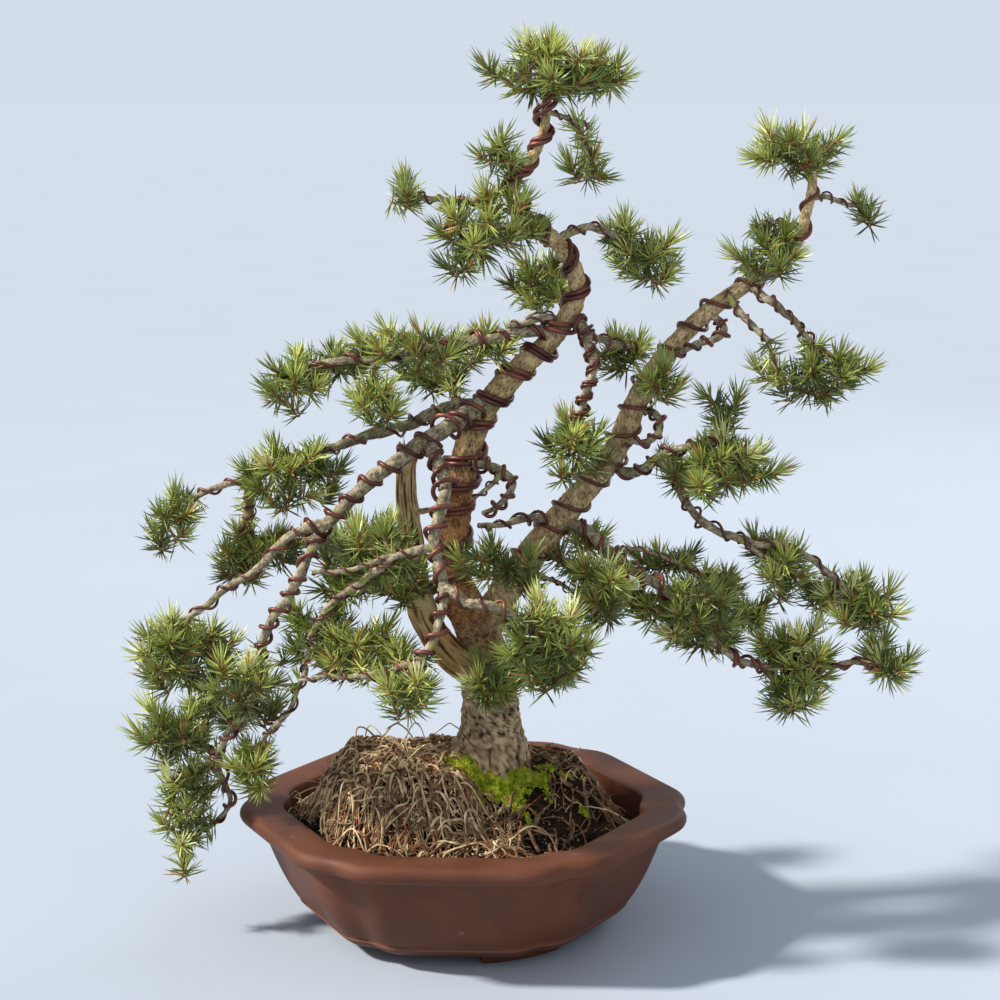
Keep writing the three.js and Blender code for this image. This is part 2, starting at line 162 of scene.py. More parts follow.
def scatter(template, places, axes, widths, lengths, bends=None):
    """One mesh with a copy of the template at each place, its Z along the axis there, turned at random."""
    count = len(places)
    side = unit(np.cross(axes, random_directions(count)))
    across = np.cross(axes, side)
    shape = points_of(template)
    corners = np.array([list(face.vertices) for face in template.polygons])
    spots = places[:, None] + shape[None, :, 2:] * (axes * lengths[:, None])[:, None]
    spots += shape[None, :, :1] * (side * widths[:, None])[:, None]
    spots += shape[None, :, 1:2] * (across * widths[:, None])[:, None]
    if bends is not None:
        spots += shape[None, :, 2:] ** 2 * bends[:, None]
    faces = corners[None] + np.arange(count)[:, None, None] * len(shape)
    mesh = bpy.data.meshes.new("scatter")
    mesh.vertices.add(spots.shape[0] * spots.shape[1])
    mesh.vertices.foreach_set("co", spots.ravel())
    mesh.loops.add(faces.size)
    mesh.loops.foreach_set("vertex_index", faces.ravel())
    mesh.polygons.add(faces.size // 3)
    mesh.polygons.foreach_set("loop_start", np.arange(0, faces.size, 3))
    mesh.update(calc_edges=True)
    return mesh


def template_from(shape):
    """A small bmesh as a mesh of triangles, to be scattered."""
    bmesh.ops.triangulate(shape, faces=shape.faces)
    mesh = bpy.data.meshes.new("template")
    shape.to_mesh(mesh)
    shape.free()
    return mesh


# %% [markdown]
# ## Camera, floor and light
#
# The camera stands a little above the crown and looks down about ten degrees. The floor is one pale plane.
# A low sun from the upper left lights the needles' edges and leaves the front of the pot in shade. A broad
# soft light from the front fills that shade, and one from behind picks out the back of the crown.

# %% Camera, floor and lights
CAMERA_PLACE = (-0.022, -2.455, 0.932)
CAMERA_PITCH_DEG = 79.7
CAMERA_LENS_MM = 80.7

camera = bpy.data.objects.new("camera", bpy.data.cameras.new("camera"))
camera.location = CAMERA_PLACE
camera.rotation_euler = (math.radians(CAMERA_PITCH_DEG), 0, 0)
camera.data.lens = CAMERA_LENS_MM
bpy.context.scene.collection.objects.link(camera)
bpy.context.scene.camera = camera

FLOOR_REACH = 300.0
floor_shape = bmesh.new()
bmesh.ops.create_grid(floor_shape, x_segments=1, y_segments=1, size=FLOOR_REACH)
floor_mesh = bpy.data.meshes.new("floor")
floor_shape.to_mesh(floor_mesh)
floor_shape.free()
floor = bpy.data.objects.new("floor", floor_mesh)
bpy.context.scene.collection.objects.link(floor)


def area_light(name, place, aim, size, watts, colour):
    """A square soft light that faces a point."""
    lamp = bpy.data.lights.new(name, "AREA")
    lamp.size = size
    lamp.energy = watts
    lamp.color = colour
    holder = bpy.data.objects.new(name, lamp)
    holder.location = place
    holder.rotation_euler = (Vector(aim) - Vector(place)).to_track_quat("-Z", "Y").to_euler()
    bpy.context.scene.collection.objects.link(holder)


middle = (cad_low + cad_high) / 2
SUN_FROM = Vector((-3.0, -0.5, 2.5))
SUN_COLOUR = (1.0, 0.95, 0.86)
SUN_STRENGTH = 5.4
SUN_WIDTH_DEG = 5
sun_lamp = bpy.data.lights.new("key", "SUN")
sun_lamp.energy = SUN_STRENGTH
sun_lamp.color = SUN_COLOUR
sun_lamp.angle = math.radians(SUN_WIDTH_DEG)
sun = bpy.data.objects.new("key", sun_lamp)
sun.rotation_euler = SUN_FROM.to_track_quat("Z", "Y").to_euler()
bpy.context.scene.collection.objects.link(sun)
area_light("fill", place=(1.2, -3.4, 2.0), aim=middle, size=2.5, watts=13, colour=(1.0, 0.96, 0.90))
area_light("rim", place=(2.2, 2.6, 2.4), aim=middle, size=1.5, watts=22, colour=(0.95, 0.97, 1.0))

# %% Sky
# The sky lights the plant. What shows of it past the floor has the far floor's brightness, so that no horizon
# shows: the floor's tone times the light that falls on it from the sky and the sun.
SKY = (0.88, 0.93, 1.0)
SKY_STRENGTH = 0.62
FLOOR_TONE = (0.40, 0.45, 0.53)
sun_on_floor = SUN_STRENGTH * SUN_FROM.normalized().z / math.pi
far_floor = [
    tone * (SKY_STRENGTH * sky + sun_on_floor * lit) for tone, sky, lit in zip(FLOOR_TONE, SKY, SUN_COLOUR)
]
world = bpy.data.worlds.new("studio")
bpy.context.scene.world = world
world.use_nodes = True
sky_nodes = world.node_tree.nodes
sky_links = world.node_tree.links
sky_nodes["Background"].inputs["Color"].default_value = (*SKY, 1)
sky_nodes["Background"].inputs["Strength"].default_value = SKY_STRENGTH
far = sky_nodes.new("ShaderNodeBackground")
far.inputs["Color"].default_value = (*far_floor, 1)
choice = sky_nodes.new("ShaderNodeMixShader")
sky_links.new(sky_nodes.new("ShaderNodeLightPath").outputs["Is Camera Ray"], choice.inputs[0])
sky_links.new(sky_nodes["Background"].outputs[0], choice.inputs[1])
sky_links.new(far.outputs[0], choice.inputs[2])
sky_links.new(choice.outputs[0], sky_nodes["World Output"].inputs["Surface"])
bpy.context.scene.view_settings.view_transform = "Standard"
print("lights", [lamp.name for lamp in bpy.data.lights], "far floor", [round(v, 2) for v in far_floor])

# %% [markdown]
# ## Finishes: shared effects
#
# Bark, clay, roots and soil are all uneven in tone and rough to the touch, and the bark gets painted shade
# in its hollows. Those effects are node groups, made once and placed in each material with its own values.
# `mottle` mixes two tones in soft patches. `hollows` paints shade, darkening what lies deep, and lightens
# what stands proud. `stains` lays lichen, soil or dust over the surface in blots. `roughness_relief` gives a
# height for bump.

# %% Node helpers
def feed(tree, socket, value):
    """Gives an input socket a constant, or joins another node's output to it."""
    if isinstance(value, bpy.types.NodeSocket):
        tree.links.new(value, socket)
    else:
        socket.default_value = value


def add(tree, kind, inputs=None, **settings):
    """Adds a node with its settings and its inputs by name."""
    made = tree.nodes.new(kind)
    for key, value in settings.items():
        setattr(made, key, value)
    for key, value in (inputs or {}).items():
        feed(tree, made.inputs[key], value)
    return made


def new_group(name, inputs, outputs):
    """An empty node group with its sockets. Inputs are name, kind and default, outputs name and kind."""
    tree = bpy.data.node_groups.new(name, "ShaderNodeTree")
    for label, kind, default in inputs:
        socket = tree.interface.new_socket(name=label, in_out="INPUT", socket_type="NodeSocket" + kind)
        if default is not None:
            socket.default_value = default
    for label, kind in outputs:
        tree.interface.new_socket(name=label, in_out="OUTPUT", socket_type="NodeSocket" + kind)
    return tree, tree.nodes.new("NodeGroupInput").outputs, tree.nodes.new("NodeGroupOutput")


def use_group(tree, group, inputs):
    """Places a node group in a material and gives its outputs."""
    return add(tree, "ShaderNodeGroup", inputs, node_tree=group).outputs


def colour(code):
    """A linear colour from a web code."""
    values = [int(code[i : i + 2], 16) / 255 for i in (1, 3, 5)]
    linear = [v / 12.92 if v <= 0.04045 else ((v + 0.055) / 1.055) ** 2.4 for v in values]
    return (*linear, 1.0)


def mix(tree, share, first, second):
    """Colour between two colours. A Mix node has a set of sockets for each kind of value, and these numbers
    are those of its colours."""
    made = add(tree, "ShaderNodeMix", data_type="RGBA")
    for number, value in ((0, share), (6, first), (7, second)):
        feed(tree, made.inputs[number], value)
    return made.outputs[2]


def ramp(tree, value, low, high):
    """Soft step of a value from low to high."""
    made = add(tree, "ShaderNodeMapRange", {"Value": value, "From Min": low, "From Max": high})
    made.interpolation_type = "SMOOTHSTEP"
    return made.outputs["Result"]


def maths(tree, kind, first, second):
    """One sum on two values."""
    made = add(tree, "ShaderNodeMath", operation=kind)
    feed(tree, made.inputs[0], first)
    feed(tree, made.inputs[1], second)
    return made.outputs[0]


# %% Shared effects
mottle, given, out = new_group(
    "mottle",
    [("Vector", "Vector", None), ("Scale", "Float", 40.0), ("Dark", "Color", None), ("Light", "Color", None)],
    [("Colour", "Color"), ("Value", "Float")],
)
broad = add(mottle, "ShaderNodeTexNoise", {"Vector": given["Vector"], "Scale": given["Scale"], "Detail": 6.0})
tone = ramp(mottle, broad.outputs["Fac"], 0.34, 0.66)
mottle.links.new(mix(mottle, tone, given["Dark"], given["Light"]), out.inputs["Colour"])
mottle.links.new(tone, out.inputs["Value"])

hollows, given, out = new_group(
    "hollows",
    [("Colour", "Color", None), ("Depth", "Float", 0.0), ("Deep", "Color", None), ("Proud", "Color", None)],
    [("Colour", "Color"), ("Mask", "Float")],
)
# Painted shade: the deeper a point lies, the darker its colour.
deep = ramp(hollows, given["Depth"], 0.25, 0.95)
proud = ramp(hollows, given["Depth"], 0.2, 0.0)
lit = mix(hollows, maths(hollows, "MULTIPLY", proud, 0.35), given["Colour"], given["Proud"])
hollows.links.new(mix(hollows, deep, lit, given["Deep"]), out.inputs["Colour"])
hollows.links.new(deep, out.inputs["Mask"])

stains, given, out = new_group(
    "stains",
    [
        ("Vector", "Vector", None),
        ("Colour", "Color", None),
        ("Stain", "Color", None),
        ("Scale", "Float", 60.0),
        ("Cover", "Float", 0.3),
    ],
    [("Colour", "Color"), ("Mask", "Float")],
)
blots = add(stains, "ShaderNodeTexNoise", {"Vector": given["Vector"], "Scale": given["Scale"], "Detail": 8.0})
edge = maths(stains, "SUBTRACT", 0.78, maths(stains, "MULTIPLY", given["Cover"], 0.5))
over = maths(stains, "SUBTRACT", blots.outputs["Fac"], edge)
mask = ramp(stains, over, 0.0, 0.1)
stains.links.new(mix(stains, mask, given["Colour"], given["Stain"]), out.inputs["Colour"])
stains.links.new(mask, out.inputs["Mask"])

relief, given, out = new_group(
    "roughness_relief",
    [("Vector", "Vector", None), ("Scale", "Float", 300.0), ("Pits", "Float", 0.3)],
    [("Height", "Float")],
)
fine = add(relief, "ShaderNodeTexNoise", {"Vector": given["Vector"], "Scale": given["Scale"], "Detail": 7.0})
cells = add(relief, "ShaderNodeTexVoronoi", {"Vector": given["Vector"], "Scale": given["Scale"]})
pits = maths(relief, "MULTIPLY", ramp(relief, cells.outputs["Distance"], 0.0, 0.4), given["Pits"])
relief.links.new(maths(relief, "ADD", fine.outputs["Fac"], pits), out.inputs["Height"])
print("node groups", [tree.name for tree in bpy.data.node_groups])

# %% [markdown]
# ## Finishes: materials
#
# A small function starts each material with a Principled shader and the Object coordinates. Bark reads two
# numbers that the bark cells store in the mesh: how deep a point lies, which puts painted shade in the
# cracks, and how far along its limb it is.


# %% Start of a material
def start(name, roughness, specular=0.5):
    """A material with its shader, its tree and the object's own coordinates."""
    material = bpy.data.materials.new(name)
    material.use_nodes = True
    tree = material.node_tree
    shader = tree.nodes["Principled BSDF"]
    shader.inputs["Roughness"].default_value = roughness
    shader.inputs["Specular IOR Level"].default_value = specular
    place = add(tree, "ShaderNodeTexCoord").outputs["Object"]
    return material, tree, shader, place


def stored(tree, name):
    """A number that the mesh keeps for each of its points."""
    return add(tree, "ShaderNodeAttribute", attribute_name=name).outputs["Fac"]


def two_tones(tree, place, scale, dark, light):
    """Two web colours in soft patches: the outputs of the mottle group."""
    tones = {"Vector": place, "Scale": scale, "Dark": colour(dark), "Light": colour(light)}
    return use_group(tree, mottle, tones)


def bump(tree, shader, height, strength, distance):
    """Fine relief from a height, as the shader's normal."""
    made = add(tree, "ShaderNodeBump", {"Height": height, "Strength": strength, "Distance": distance})
    tree.links.new(made.outputs["Normal"], shader.inputs["Normal"])


def floor_finish():
    """Pale paper, quite matt, so that it is as bright far away as it is near."""
    material, tree, shader, place = start("floor_paper", 1.0, 0.0)
    light = [tone * 1.02 for tone in FLOOR_TONE]
    tones = {"Vector": place, "Scale": 2.0, "Dark": (*FLOOR_TONE, 1), "Light": (*light, 1)}
    tree.links.new(use_group(tree, mottle, tones)["Colour"], shader.inputs["Base Color"])
    return material


floor_mesh.materials.append(floor_finish())


# %% Clay of the pot
def clay_finish():
    """Unglazed brown stoneware: soft mottling, pale grains, dusty scuffs and lime on what stands proud."""
    material, tree, shader, place = start("pot_clay", 0.62, 0.35)
    base = two_tones(tree, place, 14.0, "#532b18", "#643823")
    rubbed = mix(tree, ramp(tree, stored(tree, "worn"), 0.1, 1.0), base["Colour"], colour("#71493a"))
    blots = {"Vector": place, "Colour": rubbed, "Stain": colour("#7b5a4b"), "Scale": 34.0, "Cover": 0.2}
    lime = use_group(tree, stains, blots)
    specks = add(tree, "ShaderNodeTexVoronoi", {"Vector": place, "Scale": 420.0})
    speck = ramp(tree, specks.outputs["Distance"], 0.16, 0.07)
    grains = mix(tree, maths(tree, "MULTIPLY", speck, 0.45), lime["Colour"], colour("#a98c7a"))
    tree.links.new(grains, shader.inputs["Base Color"])
    matt = maths(tree, "ADD", maths(tree, "MULTIPLY", base["Value"], 0.16), 0.52)
    tree.links.new(matt, shader.inputs["Roughness"])
    rough = use_group(tree, relief, {"Vector": place, "Scale": 700.0, "Pits": 0.5})
    bump(tree, shader, rough["Height"], 0.35, 0.0006)
    return material


pot_clay = clay_finish()


# %% Barks, dead wood and roots
def bark_finish(name, tones, deep, proud, lichen, cover, later=()):
    """Bark with painted shade in its cracks, paler plates and lichen. later gives pairs of tones that
    take over further along the limb, each followed by the shares between which it does so."""
    material, tree, shader, place = start(name, 0.88, 0.25)
    base = two_tones(tree, place, 90.0, *tones)["Colour"]
    for later_tones, turn in zip(later[::2], later[1::2]):
        upper = two_tones(tree, place, 70.0, *later_tones)["Colour"]
        wander = add(tree, "ShaderNodeTexNoise", {"Vector": place, "Scale": 25.0}).outputs["Fac"]
        place_along = maths(tree, "ADD", stored(tree, "along"), maths(tree, "MULTIPLY", wander, 0.16))
        base = mix(tree, ramp(tree, place_along, *turn), base, upper)
    # The stored depth darkens the cracks towards the deep tone: painted shade.
    depth = stored(tree, "depth")
    cracks = {"Colour": base, "Depth": depth, "Deep": colour(deep), "Proud": colour(proud)}
    crack_shaded = use_group(tree, hollows, cracks)["Colour"]
    blots = {"Vector": place, "Colour": crack_shaded, "Stain": colour(lichen), "Scale": 75.0, "Cover": cover}
    tree.links.new(use_group(tree, stains, blots)["Colour"], shader.inputs["Base Color"])
    rough = use_group(tree, relief, {"Vector": place, "Scale": 520.0, "Pits": 0.6})
    bump(tree, shader, rough["Height"], 0.55, 0.0008)
    return material


trunk_bark = bark_finish("trunk_bark", ("#9b8364", "#d0b68f"), "#2a1c12", "#cdb48f", "#6f7a3c", 0.16,
                         later=(("#86532f", "#bd8a58"), (0.2, 0.3), ("#9a8259", "#cbb184"), (0.42, 0.56)))
pale_bark = bark_finish("pale_bark", ("#a5895f", "#dac095"), "#3c2a1b", "#dcc8a4", "#98985f", 0.2)
bough_bark = bark_finish("bough_bark", ("#756956", "#a99c82"), "#2d231a", "#cfc2a4", "#8b9050", 0.42)
twig_bark = bark_finish("twig_bark", ("#6b553c", "#947c55"), "#33261b", "#b5a078", "#858a4a", 0.36)
dead_wood = bark_finish("dead_wood", ("#a37a42", "#bd9155"), "#4a3220", "#d6c19a", "#8f8a76", 0.1,
                        later=(("#a08659", "#cbb182"), (0.3, 0.55)))
pale_roots = bark_finish("pale_roots", ("#a2845f", "#d8bf98"), "#4a3624", "#ead9b8", "#7d6648", 0.25)
dark_roots = bark_finish("dark_roots", ("#5a4330", "#866a4e"), "#241a13", "#b59c7a", "#3c2e23", 0.3)
red_roots = bark_finish("red_roots", ("#7d4329", "#a4633e"), "#2f1b13", "#c79a74", "#5d3c2a", 0.25)


# %% Soil, grit, moss, wire, needles and buds
def plain_finish(name, dark, light, scale, roughness, specular=0.3, lift=(0.4, 0.0005, 600.0)):
    """Two tones in patches with a fine relief, for the small things."""
    material, tree, shader, place = start(name, roughness, specular)
    tree.links.new(two_tones(tree, place, scale, dark, light)["Colour"], shader.inputs["Base Color"])
    if lift:
        strength, distance, fineness = lift
        rough = use_group(tree, relief, {"Vector": place, "Scale": fineness, "Pits": 0.4})
        bump(tree, shader, rough["Height"], strength, distance)
    return material


soil = plain_finish("soil", "#17110d", "#382a1e", 60.0, 0.95, 0.15, (0.9, 0.002, 260.0))
grit = plain_finish("grit", "#4f4233", "#8d7c65", 120.0, 0.85)
litter = plain_finish("litter", "#5c4228", "#8a6438", 80.0, 0.8, lift=None)
moss = plain_finish("moss", "#6f8a18", "#c6cc42", 130.0, 0.9, 0.15, None)
bud_scales = plain_finish("bud_scales", "#7a4a2a", "#b07c4c", 200.0, 0.6)


def wire_finish():
    """Anodised aluminium: an even copper brown, satin, with rubbed spots."""
    material, tree, shader, place = start("copper_wire", 0.38, 0.5)
    base = two_tones(tree, place, 35.0, "#4b2720", "#7a483c")
    blots = {"Vector": place, "Colour": base["Colour"], "Stain": colour("#8f6a60"), "Scale": 160.0,
             "Cover": 0.2}
    tree.links.new(use_group(tree, stains, blots)["Colour"], shader.inputs["Base Color"])
    shader.inputs["Metallic"].default_value = 0.45
    satin = maths(tree, "ADD", maths(tree, "MULTIPLY", base["Value"], 0.15), 0.32)
    tree.links.new(satin, shader.inputs["Roughness"])
    rough = use_group(tree, relief, {"Vector": place, "Scale": 900.0, "Pits": 0.1})
    bump(tree, shader, rough["Height"], 0.15, 0.0003)
    return material


copper_wire = wire_finish()

# Needle tints run from lit to shaded, as painted light and shade, with a dry brown at the end.
NEEDLE_TINTS = {
    "sunny": ("#b7be66", "#e2e5a6"),
    "fresh": ("#94a248", "#c0c66c"),
    "green": ("#6e7f37", "#98a250"),
    "deep": ("#4c592c", "#717c43"),
    "dry": ("#8f5a2a", "#b98748"),
}
needle_finishes = {
    tint: plain_finish("needles_" + tint, dark, light, 55.0, 0.4, 0.5, None)
    for tint, (dark, light) in NEEDLE_TINTS.items()
}
print("materials", len(bpy.data.materials))

# %% [markdown]
# ## The pot
#
# A Japanese tray of unglazed clay: six shallow lobes, a wall that opens fast above a narrow base, and a broad
# lip with rounded edges. It could be modelled lobe by lobe. It is simpler to spin one section of the wall
# into a round bowl and then press the lobes in, which moves each point in or out by its angle. The three
# feet are arcs of a rounded bar under the base, spun through part of a turn.

# %% Sizes of the pot
pot_low, pot_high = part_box("pot")
POT_MIDDLE = np.array([(pot_low.x + pot_high.x) / 2, (pot_low.y + pot_high.y) / 2])
POT_HEIGHT = pot_high.z
# Sizes outwards are apothems: from the middle of the pot to the flat of a lobe.
LIP_APOTHEM = 0.240
LIP_INNER = 0.193
LIP_ROUND = 0.010
LIP_BULGE = 0.009
INNER_ROUND = 0.004
UNDER_LIP = POT_HEIGHT - 2 * LIP_ROUND
WALL_TOP = 0.218
BASE_APOTHEM = 0.152
BOWL_FLOOR = 0.026
FOOT_HEIGHT = 0.012
# Heights along the wall as shares of it, and how it opens: 1 would be straight, less opens fast at the base.
WALL_SHARES = (0.04, 0.07, 0.1, 0.14, 0.145, 0.2, 0.27, 0.35, 0.44, 0.54, 0.64, 0.74, 0.84, 0.93)
WALL_CURVE = 0.51
LEDGE = 0.0016
LEDGE_TOP = 0.14
# A lobe is flat up to its shoulder, a share of its half, and its corner reaches a little past the apothem.
LOBES = 6
LOBE = math.tau / LOBES
POT_TURN = math.radians(-3)
SHOULDER = 0.52
LIP_CREASE = 1.036
WALL_CREASE = 1.030
SPIN_STEPS = 240


def off_lobe(angle):
    """Angle from the middle of the lobe that it falls in."""
    return abs((angle - POT_TURN) % LOBE - LOBE / 2)


def lobed(angle, height):
    """Radius of the six-lobed outline against its apothem: flat lobes, round shoulders and a soft dip at each
    corner, deeper in the wall than in the lip."""
    from_middle = off_lobe(angle)
    corner = smoothstep(SHOULDER, 1, from_middle / (LOBE / 2))
    into_lip = smoothstep(UNDER_LIP - 0.012, UNDER_LIP + 0.002, height)
    crease = WALL_CREASE + (LIP_CREASE - WALL_CREASE) * into_lip
    return (1 - corner) / math.cos(from_middle) + corner * crease


def wall_section():
    """The wall's section from the middle of the underside, round the lip, to the middle of the floor."""
    section = [(0.0, FOOT_HEIGHT), (BASE_APOTHEM - 0.006, FOOT_HEIGHT)]
    section += [(BASE_APOTHEM - 0.001, FOOT_HEIGHT + 0.002)]
    rise = UNDER_LIP - FOOT_HEIGHT
    for share in WALL_SHARES:
        ledge = LEDGE if share <= LEDGE_TOP else 0.0
        apothem = BASE_APOTHEM + (WALL_TOP - BASE_APOTHEM) * share**WALL_CURVE + ledge
        section.append((apothem, FOOT_HEIGHT + rise * share))
    section += [(WALL_TOP, UNDER_LIP - 0.002), (WALL_TOP + 0.004, UNDER_LIP + 0.0005)]
    section += [(LIP_APOTHEM - 0.008, UNDER_LIP + 0.0015)]
    for turn in range(-80, 91, 17):
        angle = math.radians(turn)
        outwards = LIP_APOTHEM - LIP_BULGE + LIP_BULGE * math.cos(angle)
        section.append((outwards, POT_HEIGHT - LIP_ROUND + LIP_ROUND * math.sin(angle)))
    section += [(LIP_APOTHEM - 0.02, POT_HEIGHT - 0.0006), (LIP_INNER + 0.014, POT_HEIGHT - 0.001)]
    for turn in (90, 60, 30, 0):
        angle = math.radians(turn)
        outwards = LIP_INNER + INNER_ROUND - INNER_ROUND * math.cos(angle)
        section.append((outwards, POT_HEIGHT - 0.0056 + INNER_ROUND * math.sin(angle)))
    section += [(LIP_INNER, UNDER_LIP), (LIP_INNER - 0.01, 0.07)]
    section += [(BASE_APOTHEM - 0.014, BOWL_FLOOR), (0.0, BOWL_FLOOR)]
    return section


# %% Spin the wall and press the lobes
def spun(section, steps):
    """A closed section spun round the Z axis."""
    shape = bmesh.new()
    line = [shape.verts.new((apothem, 0, height)) for apothem, height in section]
    edges = [shape.edges.new(pair) for pair in zip(line, line[1:])]
    bmesh.ops.spin(shape, geom=line + edges, cent=(0, 0, 0), axis=(0, 0, 1), angle=math.tau, steps=steps,
                   use_merge=True)
    bmesh.ops.remove_doubles(shape, verts=shape.verts, dist=1e-6)
    return shape


def press_lobes(shape):
    """Moves each point of a round shape in or out to the lobed outline, round the middle of the pot."""
    for point in shape.verts:
        out_by = math.hypot(point.co.x, point.co.y)
        angle = math.atan2(point.co.y, point.co.x)
        full = out_by * lobed(angle, point.co.z)
        point.co.x = POT_MIDDLE[0] + full * math.cos(angle)
        point.co.y = POT_MIDDLE[1] + full * math.sin(angle)


def convexity(mesh):
    """How far each point stands proud of its neighbours, against the length of its edges."""
    places = points_of(mesh)
    ends = np.zeros(len(mesh.edges) * 2, dtype=int)
    mesh.edges.foreach_get("vertices", ends)
    one, two = ends.reshape(-1, 2).T
    total = np.zeros_like(places)
    count = np.zeros(len(places))
    reach = np.zeros(len(places))
    span = np.linalg.norm(places[one] - places[two], axis=1)
    for here, there in ((one, two), (two, one)):
        np.add.at(total, here, places[there])
        np.add.at(count, here, 1)
        np.add.at(reach, here, span)
    facing = np.zeros(len(places) * 3)
    mesh.vertices.foreach_get("normal", facing)
    gap = places - total / count[:, None]
    return (gap * facing.reshape(-1, 3)).sum(1) / (reach / count)


pot_shape = spun(wall_section(), SPIN_STEPS)
press_lobes(pot_shape)
print("wall", len(pot_shape.verts), "points")

# %% Feet, and the finished pot
FEET = 3
FOOT_RADIUS = 0.150
FOOT_DEPTH = 0.028
FOOT_HALF_ANGLE = math.radians(19)
FOOT_STEPS = 16
FOOT_ROUNDING = 0.0025
SHARP_ANGLE = 0.6
WEAR_GAIN = 3
WEAR_START = 0.12


def foot_mesh(start_turn):
    """One foot: an arc of a bar whose top is a little wider than its sole, with rounded edges."""
    top = FOOT_HEIGHT + 0.002
    corners = [(FOOT_RADIUS - FOOT_DEPTH, 0.0), (FOOT_RADIUS, 0.0), (FOOT_RADIUS + 0.001, top),
               (FOOT_RADIUS - FOOT_DEPTH - 0.001, top)]
    foot = bmesh.new()
    ring = [foot.verts.new((r * math.cos(start_turn), r * math.sin(start_turn), z)) for r, z in corners]
    section_face = foot.faces.new(ring)
    bmesh.ops.spin(foot, geom=[section_face], cent=(0, 0, 0), axis=(0, 0, 1), angle=2 * FOOT_HALF_ANGLE,
                   steps=FOOT_STEPS)
    bmesh.ops.recalc_face_normals(foot, faces=foot.faces)
    sharp = [e for e in foot.edges if len(e.link_faces) == 2 and e.calc_face_angle() > SHARP_ANGLE]
    bmesh.ops.bevel(foot, geom=sharp, offset=FOOT_ROUNDING, segments=3, profile=0.5, affect="EDGES",
                    material=-1)
    bmesh.ops.translate(foot, verts=foot.verts, vec=(*POT_MIDDLE, 0))
    mesh = bpy.data.meshes.new("foot")
    foot.to_mesh(mesh)
    foot.free()
    return mesh


for number in range(FEET):
    middle_turn = math.pi + POT_TURN + number * math.tau / FEET
    pot_shape.from_mesh(foot_mesh(middle_turn - FOOT_HALF_ANGLE))
bmesh.ops.recalc_face_normals(pot_shape, faces=pot_shape.faces)
pot_mesh = bpy.data.meshes.new("pot")
pot_shape.to_mesh(pot_mesh)
pot_shape.free()
store(pot_mesh, "worn", np.clip(convexity(pot_mesh) * WEAR_GAIN - WEAR_START, 0, 1))
pot = piece(pot_mesh, "pot_bowl", pot_clay)
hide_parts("pot")

# %% [markdown]
# ## The ground in the pot
#
# The plant stands on a block of its own old roots, cut from the ground, with dark soil between them. The
# CAD root ball gives the lie of that ground. Rays dropped on it give a height for every place, and a finer
# surface is spun, pressed into the same lobes and raised to those heights, with lumps of its own.

# %% Heights of the ground
GRID = 96
LOWEST_GROUND = 0.124
SMOOTH_PASSES = 3


def heights_from(node):
    """Smoothed heights of a node's top on a grid over its box."""
    low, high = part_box(node)
    shape = bmesh.new()
    shape.from_mesh(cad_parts[node].data)
    tree = BVHTree.FromBMesh(shape)
    shape.free()
    grid = np.full((GRID, GRID), LOWEST_GROUND)
    for row, y in enumerate(np.linspace(low.y, high.y, GRID)):
        for column, x in enumerate(np.linspace(low.x, high.x, GRID)):
            hit = tree.ray_cast(Vector((x, y, high.z + 0.1)), Vector((0, 0, -1)))[0]
            if hit:
                grid[row, column] = hit.z
    for _ in range(SMOOTH_PASSES):
        padded = np.pad(grid, 1, mode="edge")
        grid = sum(padded[i : i + GRID, j : j + GRID] for i in range(3) for j in range(3)) / 9
    return grid, np.array(low), np.array(high)


ground_grid, ground_low, ground_high = heights_from("root_ball")
trunk_points = points_of(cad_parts["trunk"].data)
trunk_foot = trunk_points[trunk_points[:, 2] < trunk_points[:, 2].min() + 0.0005].mean(0)
print("ground from", round(ground_grid.min(), 3), "to", round(ground_grid.max(), 3))

# %% Ground with its lumps
FOOT_MOUND = 0.012
FOOT_MOUND_REACH = 0.058
# Near the wall the ground sinks, and more so on the right.
WALL_GAP = 0.012
SINK_FROM = 0.66
SINK_TO = 0.98
RIGHT_SINK = 1.6
RIGHT_REACH = 0.1
LUMP = 0.0035
LUMP_SCALE = 38


def ground(x, y):
    """Height of the ground at places, read between the points of the grid, with a rise round the trunk."""
    across = np.clip((x - ground_low[0]) / (ground_high[0] - ground_low[0]), 0, 0.9999) * (GRID - 1)
    deep = np.clip((y - ground_low[1]) / (ground_high[1] - ground_low[1]), 0, 0.9999) * (GRID - 1)
    column = np.floor(across).astype(int)
    row = np.floor(deep).astype(int)
    right = across - column
    back = deep - row
    near = ground_grid[row, column] * (1 - right) + ground_grid[row, column + 1] * right
    far = ground_grid[row + 1, column] * (1 - right) + ground_grid[row + 1, column + 1] * right
    gap = np.hypot(x - trunk_foot[0], y - trunk_foot[1]) / FOOT_MOUND_REACH
    edge = np.hypot(x - POT_MIDDLE[0], y - POT_MIDDLE[1]) / LIP_INNER
    right_gap = 1 + RIGHT_SINK * smoothstep(0.0, RIGHT_REACH, x - trunk_foot[0])
    sunk = WALL_GAP * smoothstep(SINK_FROM, SINK_TO, edge) * right_gap
    lumps = [noise.noise(Vector((u * LUMP_SCALE, v * LUMP_SCALE, 2))) for u, v in np.column_stack([x, y])]
    return near * (1 - back) + far * back + FOOT_MOUND * np.exp(-gap * gap) - sunk + LUMP * np.array(lumps)


